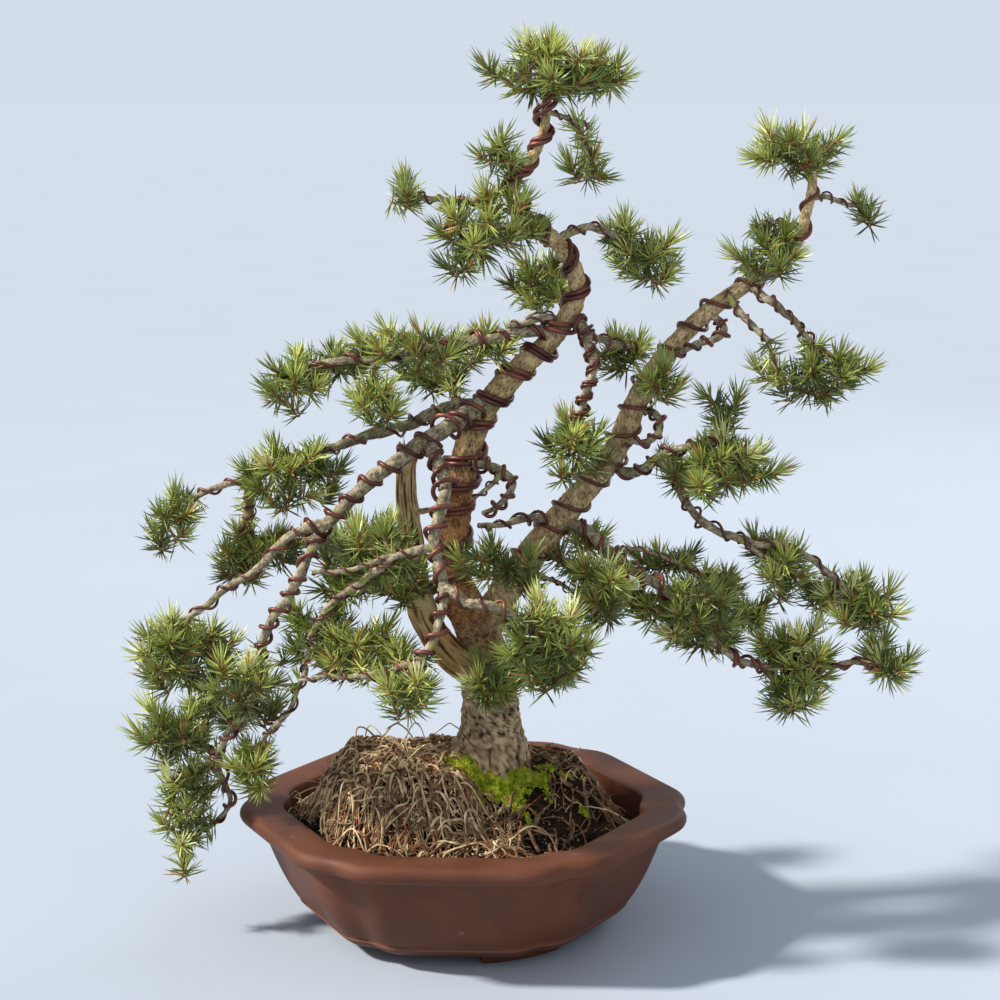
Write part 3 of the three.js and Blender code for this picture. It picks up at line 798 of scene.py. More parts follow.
# %% Soil surface
EARTH_REACH = LIP_INNER - 0.001
EARTH_RINGS = 60
EARTH_START = 0.2
EARTH_UNDERSIDE = 0.09
BELOW_ROOTS = 0.003
earth_section = [(EARTH_REACH * k / EARTH_RINGS, EARTH_START) for k in range(EARTH_RINGS + 1)]
earth_section += [(EARTH_REACH - 0.004, EARTH_UNDERSIDE), (0.0, EARTH_UNDERSIDE)]
earth_shape = spun(earth_section, SPIN_STEPS)
press_lobes(earth_shape)
for point in earth_shape.verts:
    if point.co.z > EARTH_START / 2:
        lump = noise.fractal(point.co * 60, 1.0, 2.0, 4) * 0.0022
        lump += noise.noise(Vector((point.co.x, point.co.y, 0)) * 22) * 0.004
        point.co.z = ground(point.co.x, point.co.y)[0] + lump - BELOW_ROOTS
bmesh.ops.recalc_face_normals(earth_shape, faces=earth_shape.faces)
earth_mesh = bpy.data.meshes.new("earth")
earth_shape.to_mesh(earth_mesh)
earth_shape.free()
earth = piece(earth_mesh, "earth", soil)
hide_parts("root_ball")

# %% [markdown]
# ## Limbs
#
# Each limb is one line with a taper. The CAD model grows it from its parent, turning evenly from one heading
# and pitch to the next, and the same rule and settings here give the line inside each CAD solid at any
# fineness. Heading 0 is +X and 90 is +Y. Pitch 0 is level and 90 straight up. Girths are in millimetres,
# base then tip. The last rows are thin limbs that have no solid of their own, as have the dead wood's hook
# and stub.

# %% The growth rule
PATH_STEPS = 60


def grow(origin, length, headings, pitches):
    """Points of a limb's line, from its origin to its tip."""
    share = (np.arange(PATH_STEPS) + 0.5) / PATH_STEPS
    heading = np.radians(np.interp(share, np.linspace(0, 1, len(headings)), headings))
    pitch = np.radians(np.interp(share, np.linspace(0, 1, len(pitches)), pitches))
    steps = np.column_stack([np.cos(pitch) * np.cos(heading), np.cos(pitch) * np.sin(heading), np.sin(pitch)])
    return np.vstack([origin, origin + np.cumsum(steps * length / PATH_STEPS, axis=0)])


def on_path(path, share):
    """Points of a line at shares of its length, from 0 to 1."""
    places = np.linspace(0, 1, len(path))
    return np.column_stack([np.interp(share, places, path[:, axis]) for axis in range(3)])


# name: parent, share of the parent, length, girths, headings, pitches
LIMBS = {
    "trunk": (None, 0, 870, (52, 8), (-5, 5, 20, 25, 0, -15, -15, -5, 5, 15, 20, 5, 0, -5, -5),
              (85, 95, 100, 125, 85, 80, 75, 50, 40, 60, 125, 150, 45, 85, 105)),
    "right_trunk": ("trunk", 0.16, 670, (38, 9), (20, 15, 5, -5, -15, -10, 0, -5, 0, 5),
                    (65, 55, 50, 50, 70, 55, 40, 30, 75, 95)),
    "deadwood": ("trunk", 0.11, 315, (36, 25), (-135, -170, -205, -230, -330), (20, 55, 85, 80, 90)),
    "deadwood_hook": ("deadwood", 0.9, 50, (21, 7), (10, 20, 60), (80, 45, 0)),
    "deadwood_stub": ("deadwood", 0.72, 26, (10, 5), (0, 0), (20, 0)),
    "right_arm": ("trunk", 0.74, 125, (10, 6), (5, 10, 10, 5), (50, -10, -25, -20)),
    "upper_left_arm": ("trunk", 0.83, 125, (9, 5), (-180, -175, -180, -190), (-20, -10, 5, 30)),
    "left_upper_bough": ("trunk", 0.61, 280, (14, 7), (-150, -175, -180, -180, -185),
                         (10, -10, -10, -5, -30)),
    "left_middle_bough": ("trunk", 0.48, 370, (15, 6), (130, 165, 205, 195, 180, 165),
                          (10, -30, -10, -10, -30, -15)),
    "front_left_bough": ("trunk", 0.49, 260, (20, 13), (-130, -140, -175, -170, -190),
                         (-10, -25, -35, -45, -20)),
    "low_left_outer_bough": ("front_left_bough", 0.93, 200, (11, 6), (165, 165, 180, 185),
                             (-20, -45, -35, -40)),
    "low_left_front_bough": ("front_left_bough", 0.92, 425, (12, 5),
                             (-140, -145, -180, -250, -215, -215, -350, -140),
                             (-75, -55, -60, -75, -45, -55, -65, -35)),
    "front_hanging_bough": ("front_left_bough", 0.37, 270, (15, 8), (-55, -75, -130, -40, -120, -200),
                            (-30, -45, -65, -70, -65, -35)),
    "front_side_bough": ("front_hanging_bough", 0.65, 110, (12, 8), (-30, -10, 0, 10), (-20, -15, -25, -30)),
    "low_left_inner_bough": ("front_hanging_bough", 0.5, 340, (9, 5),
                             (-175, -195, -195, -215, -220, -210, -205), (0, -35, -40, -65, -70, -55, -50)),
    "down_bough": ("trunk", 0.64, 140, (12, 8), (-40, -55, -150, -180), (-20, -65, -70, -75)),
    "right_inner_bough": ("trunk", 0.64, 115, (10, 6), (20, 35, 45, 45), (-55, -25, -10, -20)),
    "knob_bough": ("trunk", 0.41, 130, (11, 6), (-65, -40, -15, -200, -215), (-20, 10, -40, -55, -20)),
    "right_middle_bough": ("right_trunk", 0.37, 145, (13, 7), (-35, -35, -5, 0), (-35, 25, 25, 0)),
    "right_long_bough": ("right_middle_bough", 0.55, 285, (11, 6), (-35, -10, 5, 5, 0, 10),
                         (-70, -55, -20, -10, -40, -35)),
    "right_low_bough": ("right_trunk", 0.23, 435, (14, 5), (-30, -35, -15, 0, 10, 10, 0, 0),
                        (10, -35, -30, -50, -45, 0, 10, -5)),
    "right_pad_bough": ("right_trunk", 0.75, 110, (10, 6), (-60, -20, 20, 10), (-10, -35, -55, -35)),
    "upper_stub": ("trunk", 0.63, 70, (9, 5), (-145, -155, -180), (10, 0, -15)),
    "second_stub": ("right_trunk", 0.25, 115, (11, 6), (-145, -140, -140, -145), (5, 5, -5, 5)),
    "right_back_bough": ("right_trunk", 0.18, 155, (9, 5), (-5, 5, 5, -5), (-30, -25, -20, -15)),
    "hanging_left_bough": ("front_hanging_bough", 0.93, 140, (8, 4), (170, 180, 175, 180),
                           (-35, -15, 0, -10)),
    "inner_twig": ("low_left_inner_bough", 0.1, 95, (6, 4), (-185, -180, -175), (-10, -20, -5)),
    "right_thin_bough": ("right_trunk", 0.15, 85, (6, 4), (-30, -30, -25), (-25, -25, -5)),
    "low_side_twig": ("right_low_bough", 0.17, 90, (6, 4), (5, 5, 10), (-5, -10, -25)),
    "long_side_twig": ("right_long_bough", 0.43, 60, (6, 4), (-20, -15, -15), (-35, -30, -25)),
    "pad_side_bough": ("right_trunk", 0.72, 70, (9, 6), (-115, -50, -15, -10), (-40, -35, -45, -50)),
    "upper_loop": ("right_trunk", 0.67, 95, (10, 6), (-15, -40, -145, -185, -190, -200),
                   (-30, -45, -30, -5, -35, -25)),
    "lower_loop": ("right_trunk", 0.47, 95, (10, 6), (-25, -25, -60, -170, -195, -190),
                   (0, -10, -70, -45, 5, -15)),
    "knob_twig": ("knob_bough", 0.45, 50, (7, 4), (-115, -150, -175), (-30, -35, -35)),
    "top_arm": ("right_trunk", 0.93, 70, (7, 4), (20, 25, 20, 0), (5, -5, -25, -20)),
    "top_inner_arm": ("right_trunk", 0.88, 65, (7, 4), (-155, -160, -165, -165), (10, 15, 0, -15)),
    "crown_side_twig": ("trunk", 0.94, 52, (6, 4), (10, 0, -10), (-30, -25, -20)),
}


# %% Grow every limb
TRUNK_FLARE = 0.032
TRUNK_FLARE_SHARE = 0.09
TRUNK_TAPER = 1.2
TRUNKS = ("trunk", "right_trunk", "deadwood")
ROUND_LIMBS = ("upper_loop", "lower_loop", "knob_bough", "knob_twig")
TRUNK_KINK = 0.0012
ROUND_KINK = 0.0022
BOUGH_KINK = 0.0060


def girth_radius(name, share):
    """Radius of a limb at shares of its length. The trunk tapers slower at the top and flares at its foot."""
    thick, thin = (girth * MM for girth in LIMBS[name][3])
    if name != "trunk":
        return (thick + (thin - thick) * share) / 2
    shaft = thin + (thick - thin) * np.power(1 - share, TRUNK_TAPER)
    return (shaft + TRUNK_FLARE * np.exp(-share / TRUNK_FLARE_SHARE)) / 2


def kinked(name, line):
    """A limb's line with the small bends of its years of growth, none at its foot."""
    size = TRUNK_KINK if name in TRUNKS else ROUND_KINK if name in ROUND_LIMBS else BOUGH_KINK
    long_bends = np.array([noise.noise_vector(Vector(point * 21)) for point in line])
    short_bends = np.array([noise.noise_vector(Vector(point * 55)) for point in line])
    growing = smoothstep(0, 0.12, np.linspace(0, 1, len(line)))[:, None]
    return line + growing * size * (long_bends + 0.5 * short_bends)


lines = {}
for name, (parent, share, length, girths, headings, pitches) in LIMBS.items():
    origin = on_path(lines[parent], [share])[0] if parent else trunk_foot
    lines[name] = grow(origin, length * MM, headings, pitches)
# Each line has to run through the CAD solid of its name.
for name in lines.keys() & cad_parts.keys():
    low, high = (np.array(corner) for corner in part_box(name))
    assert (lines[name].min(0) < high).all() and (lines[name].max(0) > low).all(), name
limb_paths = {name: kinked(name, line) for name, line in lines.items()}
print("limbs", len(limb_paths))

# %% [markdown]
# ## Bark
#
# Pine bark breaks into thick plates on old wood, low on the trunk, and into thin papery flakes and fine
# rings on young wood. It could be a texture, but then the outline stays smooth. Here each limb is a fine
# tube whose points move in and out by a height worked out from how far along the limb and how far round it
# they lie. How deep each point lies in a crack is stored too, so that the bark's finish can paint shade
# into the cracks.


# %% Relief of the bark
FISSURE_WIDTH = 0.14
FLAKE_EDGE = 0.3
KNOB_SPACING_MM = 26
TRUNK_KNOBS = 0.08
BOUGH_KNOBS = 0.17
FULL_RELIEF_RADIUS_MM = 7


def bark_height(around, along, plates, rings):
    """Height and depth of crack at a place on a limb in millimetres. Plates lie between winding fissures,
    flakes between the edges of cells, and rings run across. All three are stretched along the limb."""
    bent = noise.noise_vector(Vector((around.x / 6, around.y / 6, along / 9))) * 2.6
    plate_place = Vector(((around.x + bent.x) / 8, (around.y + bent.y) / 8, (along + bent.z) / 36))
    tile = min(abs(noise.noise(plate_place)) / FISSURE_WIDTH, 1.0)
    near = noise.voronoi(Vector(((around.x + bent.y) / 3.4, (around.y + bent.z) / 3.4, along / 5.5)))[0]
    flake = min((near[1] - near[0]) / FLAKE_EDGE, 1.0)
    rough = noise.fractal(Vector((around.x / 6, around.y / 6, along / 14)), 0.8, 2.1, 5)
    ring = noise.noise(Vector((around.x / 14, around.y / 14, along / 1.9)))
    height = plates * (2.6 * tile + 1.2 * rough) + (0.6 * flake + 0.75 * rough) + rings * 0.45 * ring
    crack = max(plates * (1 - tile), 0.75 * (1 - flake), 0.5 * rings * (ring < -0.3))
    return height - plates * 1.8 - 0.5, crack


def ringed_tube(path, radius, sides):
    """A tube along a path: its points by ring and side, their ways out from the path, and their angles."""
    mesh = skins([path], [radius], sides)
    rings_of_points = points_of(mesh).reshape(len(path), sides, 3)
    return mesh, rings_of_points, rings_of_points - path[:, None], np.arange(sides) / sides * math.tau


def finish_tube(mesh, rings_of_points, share, depth):
    """Puts the moved points back, stores what the bark's finish reads and closes the ends."""
    mesh.vertices.foreach_set("co", rings_of_points.ravel())
    store(mesh, "along", np.repeat(share, rings_of_points.shape[1]))
    store(mesh, "depth", depth.ravel())
    return close_ends(mesh)


def barked(name, fineness, sides, plates, rings, hidden=0.0):
    """Mesh of one limb with its bark. plates gives the share of thick plates at a share of the limb."""
    length = LIMBS[name][2]
    share = np.linspace(hidden, 1, int(length / fineness))
    path = on_path(limb_paths[name], share)
    knobs = np.array([noise.noise(Vector((0, 0, s * length / KNOB_SPACING_MM + len(name)))) for s in share])
    radius = girth_radius(name, share) * (1 + (TRUNK_KNOBS if name in TRUNKS else BOUGH_KNOBS) * knobs)
    mesh, rings_of_points, outward, turn = ringed_tube(path, radius, sides)
    outward /= np.linalg.norm(outward, axis=2, keepdims=True)
    depth = np.zeros((len(share), sides))
    for k in range(len(share)):
        plate = plates(share[k])
        size = 1000 * radius[k]
        limit = min(1.0, size / FULL_RELIEF_RADIUS_MM)
        for i in range(sides):
            around = Vector((math.cos(turn[i]) * size + len(name) * 7, math.sin(turn[i]) * size, 0))
            height, depth[k, i] = bark_height(around, share[k] * length, plate, rings)
            rings_of_points[k, i] += outward[k, i] * height * limit * MM
    return finish_tube(mesh, rings_of_points, share, depth)


# %% Trunks
FLARE_HEIGHT = 0.04
FLARE_SINK = 0.026
TOE = 0.026
TOE_TURN = math.radians(-165)
TOE_WIDTH = 0.45
PLATES_TO = 0.12
PLATES_END = 0.24
THIN_PLATES = 0.25


def root_flare(mesh):
    """Low on the trunk the bark swells into the tops of the roots, most into one toe at the left."""
    places = points_of(mesh)
    centre = limb_paths["trunk"][0]
    rise = np.clip((places[:, 2] - centre[2]) / FLARE_HEIGHT, 0, 1)
    turn = np.arctan2(places[:, 1] - centre[1], places[:, 0] - centre[0])
    toe = np.exp(-((((turn - TOE_TURN) + math.pi) % math.tau - math.pi) / TOE_WIDTH) ** 2)
    swell = (1 - rise) ** 2 * (0.005 + 0.003 * np.sin(5 * turn + 0.6) + 0.002 * np.sin(9 * turn) + TOE * toe)
    places[:, 0] += np.cos(turn) * swell
    places[:, 1] += np.sin(turn) * swell
    places[:, 2] -= (1 - rise) ** 3 * FLARE_SINK
    mesh.vertices.foreach_set("co", places.ravel())


def trunk_plates(share):
    """Thick plates low on the trunk, thin ones above."""
    return THIN_PLATES + (1 - THIN_PLATES) * float(smoothstep(PLATES_END, PLATES_TO, share))


trunk_mesh = barked("trunk", 2.2, 68, trunk_plates, 0.7)
root_flare(trunk_mesh)
trunk = piece(trunk_mesh, "trunk_bark_skin", trunk_bark)
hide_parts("trunk")
right_mesh = barked("right_trunk", 2.2, 48, lambda share: THIN_PLATES, 1.0, hidden=0.02)
right = piece(right_mesh, "right_trunk_bark_skin", pale_bark)
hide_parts("right_trunk")

# %% Boughs
THICK_BOUGH_MM = 12
for name in LIMBS:
    if name in TRUNKS:
        continue
    sides = 28 if LIMBS[name][3][0] > THICK_BOUGH_MM else 20
    dead = name.startswith("deadwood")
    bough = piece(barked(name, 2.0, sides, lambda share: 0.6 if dead else 0.1, 0.8), name + "_bark",
                  dead_wood if dead else bough_bark)
    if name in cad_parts:
        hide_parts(name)


# %% [markdown]
# ## The strip of dead wood
#
# A dead limb has been stripped and stands beside the trunk: flattened, silver-tan, deeply grooved along its
# grain, with a splintered top. The same kind of tube is used, but its section is squeezed, the grooves run
# along the whole length, and the last rings are pulled down by a different amount at each side, which splits
# the end.

# %% Dead wood
DEADWOOD_SIDES = 56
DEADWOOD_RINGS = 190
DEADWOOD_HIDDEN = 0.03
FLATTENING = 0.16
TORN_FROM = 0.93
TORN_BY = 0.09


def deadwood_mesh():
    """The grooved and torn strip."""
    share = np.linspace(DEADWOOD_HIDDEN, 1, DEADWOOD_RINGS)
    path = on_path(limb_paths["deadwood"], share)
    mesh, places, outward, turn = ringed_tube(path, girth_radius("deadwood", share), DEADWOOD_SIDES)
    depth = np.zeros((DEADWOOD_RINGS, DEADWOOD_SIDES))
    rounds = [(math.cos(angle), math.sin(angle)) for angle in turn]
    end = [TORN_FROM + TORN_BY * noise.fractal(Vector((x * 2.2, y * 2.2, 4)), 0.6, 2.2, 4) for x, y in rounds]
    for k in range(DEADWOOD_RINGS):
        for i, (x, y) in enumerate(rounds):
            grain = Vector((x * 3.1, y * 3.1, share[k] * 5.5))
            groove = noise.ridged_multi_fractal(grain, 0.9, 2.2, 4, 1.0, 2.0)
            split = noise.noise(Vector((x * 7, y * 7, share[k] * 9)))
            scale = 1 - FLATTENING + FLATTENING * math.cos(2 * (turn[i] - 0.9 - 1.4 * share[k]))
            scale *= 0.9 + 0.1 * groove + 0.05 * split
            # The finish darkens the sunken grooves by this depth: painted shade.
            depth[k, i] = smoothstep(1.3, 0.5, groove)
            torn = max(0.0, share[k] - end[i])
            places[k, i] = path[k] + outward[k, i] * scale * (1 - min(torn * 9, 0.9))
            places[k, i, 2] -= torn * LIMBS["deadwood"][2] * MM * 0.85
    return finish_tube(mesh, places, share, depth)


strip = piece(deadwood_mesh(), "deadwood_strip", dead_wood)
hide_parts("deadwood")

# %% [markdown]
# ## Where the shoots stand
#
# A bonsai pine carries its needles in brushes, one at the end of each shoot, and the brushes gather in
# clouds. Each CAD mass is such a cloud. Places are thrown at random into a mass, deep enough that the needles
# just reach its skin, and kept when they have room round them. Looser bands of brushes run along the boughs
# between the clouds.

# %% Places of the shoots
SPACING = 0.0270
TRIES = 600
DEEPEST_INSET = 0.013
INSET_SHARE = 0.26
BAND_SPACING = 0.8
# middle, reach to each side and number of shoots of each loose band; in millimetres
LOOSE_BANDS = (
    ((150, -58, 625), (20, 20, 20), 5), ((-293, -86, 205), (26, 26, 26), 8),
    ((-371, -48, 174), (26, 26, 26), 8), ((-37, -88, 297), (30, 28, 26), 9),
    ((30, -85, 330), (54, 28, 32), 12), ((61, -28, 901), (4, 4, 4), 1), ((231, 52, 371), (24, 24, 24), 6),
    ((299, -28, 271), (20, 20, 20), 5), ((377, 12, 807), (12, 12, 12), 3), ((-205, 0, 640), (48, 26, 15), 7),
    ((-35, -30, 665), (36, 24, 12), 5), ((-292, 10, 430), (50, 26, 24), 9),
    ((-200, -20, 405), (36, 30, 26), 8), ((-130, -60, 405), (28, 20, 24), 5),
    ((-222, -30, 360), (42, 26, 18), 6), ((-365, -20, 320), (64, 42, 38), 13),
    ((-325, -30, 258), (62, 40, 32), 10), ((-385, -20, 223), (34, 28, 20), 6),
    ((-184, -30, 322), (72, 28, 14), 13), ((-119, -70, 292), (34, 26, 20), 7),
    ((66, 0, 427), (42, 30, 26), 7), ((92, 10, 370), (30, 22, 18), 5), ((142, 0, 367), (28, 22, 18), 5),
    ((217, 0, 393), (32, 22, 18), 6), ((170, 20, 415), (42, 16, 10), 5), ((204, -10, 340), (52, 30, 22), 10),
    ((266, 0, 355), (24, 20, 14), 4), ((291, -10, 325), (26, 20, 18), 5), ((327, 0, 299), (20, 16, 12), 3),
    ((405, 0, 312), (24, 18, 20), 5), ((277, 0, 430), (32, 20, 16), 5), ((335, 10, 378), (24, 20, 20), 4),
    ((382, 0, 376), (32, 24, 24), 7), ((88, -10, 951), (28, 24, 17), 6), ((25, 0, 975), (26, 20, 12), 3),
    ((78, 0, 858), (22, 12, 10), 3), ((-64, -20, 753), (22, 18, 14), 3), ((117, 0, 785), (26, 16, 10), 3),
)


def spaced(found, place, gap):
    """Whether a place is further than the gap from all those found."""
    return all(np.linalg.norm(place - other) > gap for other in found)


def shoots_round(centre, room, wanted, gap, others):
    """Places for up to the wanted number of shoots in a round space, clear of the others."""
    found = []
    for _ in range(TRIES):
        throw = rng.uniform(-1, 1, 3)
        place = centre + throw * room
        if len(found) < wanted and np.linalg.norm(throw) < 1 and spaced(others + found, place, gap):
            found.append(place)
    return found


shoots = []
centres = []
clouds = [node for node in sorted(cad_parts) if node.startswith("foliage")]
for node in clouds:
    low, high = (np.array(corner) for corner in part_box(node))
    half = (high - low) / 2
    room = half - np.minimum(DEEPEST_INSET, INSET_SHARE * half)
    found = shoots_round((low + high) / 2, room, TRIES, SPACING, [])
    shoots += found
    centres += [(low + high) / 2] * len(found)
for centre, reach, wanted in LOOSE_BANDS:
    centre = np.array(centre) * MM
    found = shoots_round(centre, np.array(reach) * MM, wanted, BAND_SPACING * SPACING, shoots)
    shoots += found
    centres += [centre] * len(found)
shoots = np.array(shoots)
centres = np.array(centres)
print("shoots", len(shoots), "in", len(clouds), "clouds")

# %% [markdown]
# ## Twigs
#
# Twigs could be drawn one by one, but there are hundreds. A seeded rule joins them instead: the shoot that is
# cheapest to reach grows next, from whichever point of the plant is near, lies behind it and isn't already a
# long way from a limb. Its twig is then part of the plant, so later shoots can leave it. A twig's thickness
# comes from how many shoots it feeds.

# %% The branching rule
DETOUR_COST = 0.22
TURN_COST = 0.55
TWIG_STEP = 0.006
# No twig leaves these limbs, or the first points of another limb.
BARE_LIMBS = ("deadwood", "deadwood_hook", "deadwood_stub", "knob_bough", "knob_twig", "upper_loop",
              "lower_loop", "second_stub")
BARE_TRUNK_POINTS = 14
BARE_BOUGH_POINTS = 6

places = []
headings_at = []
carried = []
parents = []
for name, path in limb_paths.items():
    if name in BARE_LIMBS:
        continue
    first = BARE_TRUNK_POINTS if name in TRUNKS else BARE_BOUGH_POINTS
    ahead = unit(np.gradient(path, axis=0))
    places += list(path[first::2])
    headings_at += list(ahead[first::2])
    carried += [0.0] * len(path[first::2])
    parents += [-1] * len(path[first::2])
limb_points = len(places)


def reach_costs(targets, spots, ways, spent):
    """Cost of a twig from each spot to each target: its length, its turn and the way already gone."""
    gap = targets[:, None] - spots[None]
    length = np.linalg.norm(gap, axis=2)
    straight = (gap * ways[None]).sum(2) / np.maximum(length, 1e-9)
    return length * (1 + TURN_COST * (1 - straight)) + DETOUR_COST * spent[None]


def twig_line(start_place, way, end_place, arrival):
    """A bent twig between two points: it leaves along its parent and arrives along its shoot."""
    span = np.linalg.norm(end_place - start_place)
    count = max(3, int(span / TWIG_STEP))
    t = np.linspace(0, 1, count + 1)[:, None]
    leave = way * span * 0.75
    arrive = arrival * span * 0.75
    line = (2 * t**3 - 3 * t**2 + 1) * start_place + (t**3 - 2 * t**2 + t) * leave
    line += (3 * t**2 - 2 * t**3) * end_place + (t**3 - t**2) * arrive
    wave = np.array([noise.noise_vector(Vector(p * 34)) for p in line])
    return line + wave * np.sin(t * math.pi) * min(0.007, 0.09 * span)


# A shoot points away from the middle of its cloud, more so to the sides than up, and a little at random.
AWAY = (1.0, 1.0, 0.6)
shoot_ways = unit(shoots - centres) * AWAY + UP * 0.75 + 0.45 * random_directions(len(shoots))
shoot_ways = unit(shoot_ways)

# %% Join the shoots, the cheapest first
waiting = list(range(len(shoots)))
costs = reach_costs(shoots, np.array(places), np.array(headings_at), np.array(carried))
best_from = costs.argmin(1)
best_cost = costs.min(1)
twigs = []
while waiting:
    nearest = min(waiting, key=lambda k: best_cost[k])
    waiting.remove(nearest)
    source = best_from[nearest]
    way = unit(headings_at[source] * 0.6 + unit(shoots[nearest] - places[source]) * 0.7)
    line = twig_line(places[source], way, shoots[nearest], shoot_ways[nearest])
    lengths = np.linalg.norm(np.diff(line, axis=0), axis=1)
    first = len(places)
    for step, spot in enumerate(line[1:]):
        places.append(spot)
        headings_at.append(unit(line[step + 1] - line[step]))
        carried.append(carried[source] + lengths[: step + 1].sum())
        parents.append(source if step == 0 else len(places) - 2)
    twigs.append((source, first, len(places)))
    if waiting:
        usable = slice(first, len(places) - 1)
        new_costs = reach_costs(shoots, np.array(places[usable]), np.array(headings_at[usable]),
                                np.array(carried[usable]))
        better = new_costs.min(1) < best_cost
        best_from[better] = new_costs.argmin(1)[better] + first
        best_cost[better] = new_costs.min(1)[better]

# %% Thickness of the twigs
SHOOT_RADIUS = 0.0014
TWIG_POWER = 0.42
fed = np.zeros(len(places))
for _, _, last in twigs:
    fed[last - 1] = 1
for k in range(len(places) - 1, limb_points - 1, -1):
    fed[parents[k]] += fed[k] if parents[k] >= limb_points else 0
twig_paths = []
twig_radii = []
for source, first, last in twigs:
    own = range(first, last)
    feeding = np.array([fed[first]] + [fed[k] for k in own])
    twig_paths.append(np.array([places[source]] + [places[k] for k in own]))
    twig_radii.append(SHOOT_RADIUS * feeding**TWIG_POWER)
print("twigs", len(twigs), "metres", round(sum(len(path) for path in twig_paths) * TWIG_STEP, 1))

# %% Twigs as skins
twig_mesh = skins(twig_paths, twig_radii, 8)
twig_points = points_of(twig_mesh)
lumps = np.array([noise.fractal(Vector(p * 420), 1.0, 2.0, 3) for p in twig_points])
facing = np.zeros(len(twig_points) * 3)
twig_mesh.vertices.foreach_get("normal", facing)
local_radius = np.repeat(np.concatenate(twig_radii), 8)
twig_points = twig_points + facing.reshape(-1, 3) * (lumps * 0.35 * local_radius)[:, None]
twig_mesh.vertices.foreach_set("co", twig_points.ravel())
# The finish darkens the dents by this depth: painted shade.
store(twig_mesh, "depth", np.clip(0.4 - lumps, 0, 1))
twig_piece = piece(close_ends(twig_mesh), "twigs", twig_bark)
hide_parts(*clouds)

# %% [markdown]
# ## Training wire
#
# Soft aluminium wire, anodised copper brown, winds round each limb from its base to its tip, often as two
# strands lying side by side. A helix has to follow a bent and tapering limb, so it is built on the limb's own
# line: a frame carried along without twist gives two directions across, and the wire runs round them at the
# bark's radius plus its own.

# %% Windings
POINTS_PER_TURN = 14


def carried_frame(path):
    """Two directions across a line at each of its points, carried along it without twist."""
    ahead = unit(np.gradient(path, axis=0))
    side = unit(np.cross(ahead[0], [0.3, -0.9, 0.2]))
    sides = []
    for way in ahead:
        side = unit(side - way * (side @ way))
        sides.append(side)
    sides = np.array(sides)
    return sides, np.cross(ahead, sides)


def winding(path, radius, pitch, slack, wire, phase):
    """Line of a wire of that radius wound round a limb. pitch is its advance in one turn at the start, and
    slack is how many times longer that is at the end."""
    gaps = np.linalg.norm(np.diff(path, axis=0), axis=1)
    run = np.concatenate([[0], np.cumsum(gaps)])
    count = int(run[-1] / pitch * POINTS_PER_TURN) + 2
    at = np.linspace(0, run[-1], count)
    wander = np.array([noise.noise(Vector((0, phase // 5, s / pitch / 1.7))) for s in at])
    advance = pitch * (1 + (slack - 1) * np.linspace(0, 1, count) ** 2)
    turn = phase + np.cumsum(math.tau * at[1] / advance) + 2.4 * wander
    sides, across = carried_frame(path)
    slack_off = 3.2 * wire
    reach = np.interp(at, run, radius) + 0.9 * wire + slack_off * np.clip(wander + 0.1, 0, 1)
    spot = np.column_stack([np.interp(at, run, path[:, k]) for k in range(3)])
    side = unit(np.column_stack([np.interp(at, run, sides[:, k]) for k in range(3)]))
    other = unit(np.column_stack([np.interp(at, run, across[:, k]) for k in range(3)]))
    return spot + reach[:, None] * (np.cos(turn)[:, None] * side + np.sin(turn)[:, None] * other)


# limb: from and to as shares of it, wire diameter and advance in one turn in millimetres, slack, strands
WINDINGS = {
    "trunk": (0.24, 0.97, 5.6, 34, 1.35, 2), "right_trunk": (0.1, 0.98, 4.6, 34, 1.2, 1),
    "right_arm": (0.05, 1, 3.0, 26, 1, 1), "upper_left_arm": (0.05, 1, 2.6, 24, 1, 1),
    "left_upper_bough": (0.04, 1, 3.6, 34, 1, 2), "left_middle_bough": (0.05, 1, 3.4, 36, 1, 1),
    "front_left_bough": (0.05, 1, 5.0, 24, 1.2, 1), "low_left_outer_bough": (0.03, 1, 3.2, 36, 1, 1),
    "low_left_front_bough": (0.02, 1, 4.2, 21, 1.4, 1), "front_hanging_bough": (0.03, 1, 5.2, 23, 1, 1),
    "front_side_bough": (0.06, 1, 3.8, 30, 1, 1), "low_left_inner_bough": (0.04, 1, 2.8, 31, 1, 1),
    "down_bough": (0.08, 1, 3.8, 18, 1, 2), "right_inner_bough": (0.1, 1, 3.0, 24, 1, 1),
    "knob_bough": (0.12, 0.96, 4.2, 17, 1, 1), "right_middle_bough": (0.12, 1, 4.0, 24, 1, 1),
    "right_long_bough": (0.03, 1, 3.2, 29, 1, 1), "right_low_bough": (0.06, 1, 3.8, 28, 1.2, 2),
    "right_pad_bough": (0.06, 1, 3.2, 21, 1, 1), "upper_stub": (0.1, 0.95, 2.6, 20, 1, 1),
    "second_stub": (0.15, 0.97, 3.6, 28, 1, 1), "right_back_bough": (0.1, 1, 2.8, 26, 1, 1),
    "right_thin_bough": (0.15, 1, 2.0, 18, 1, 1), "low_side_twig": (0.05, 1, 2.0, 18, 1, 1),
    "long_side_twig": (0.05, 1, 2.0, 18, 1, 1), "pad_side_bough": (0.1, 1, 2.8, 20, 1, 1),
    "upper_loop": (0.14, 0.97, 4.0, 17, 1, 1), "lower_loop": (0.14, 0.97, 4.0, 17, 1, 1),
    "knob_twig": (0.1, 0.95, 2.4, 19, 1, 1), "top_arm": (0.08, 1, 2.2, 17, 1, 1),
    "top_inner_arm": (0.08, 1, 2.2, 18, 1, 1), "crown_side_twig": (0.1, 1, 2.0, 15, 1, 1),
    "hanging_left_bough": (0.05, 1, 2.6, 20, 1, 1), "inner_twig": (0.1, 1, 2.0, 19, 1, 1),
}
THICK_WIRE_MM = 3.4
wires = {"thick": [], "thin": []}
gauges = {"thick": [], "thin": []}
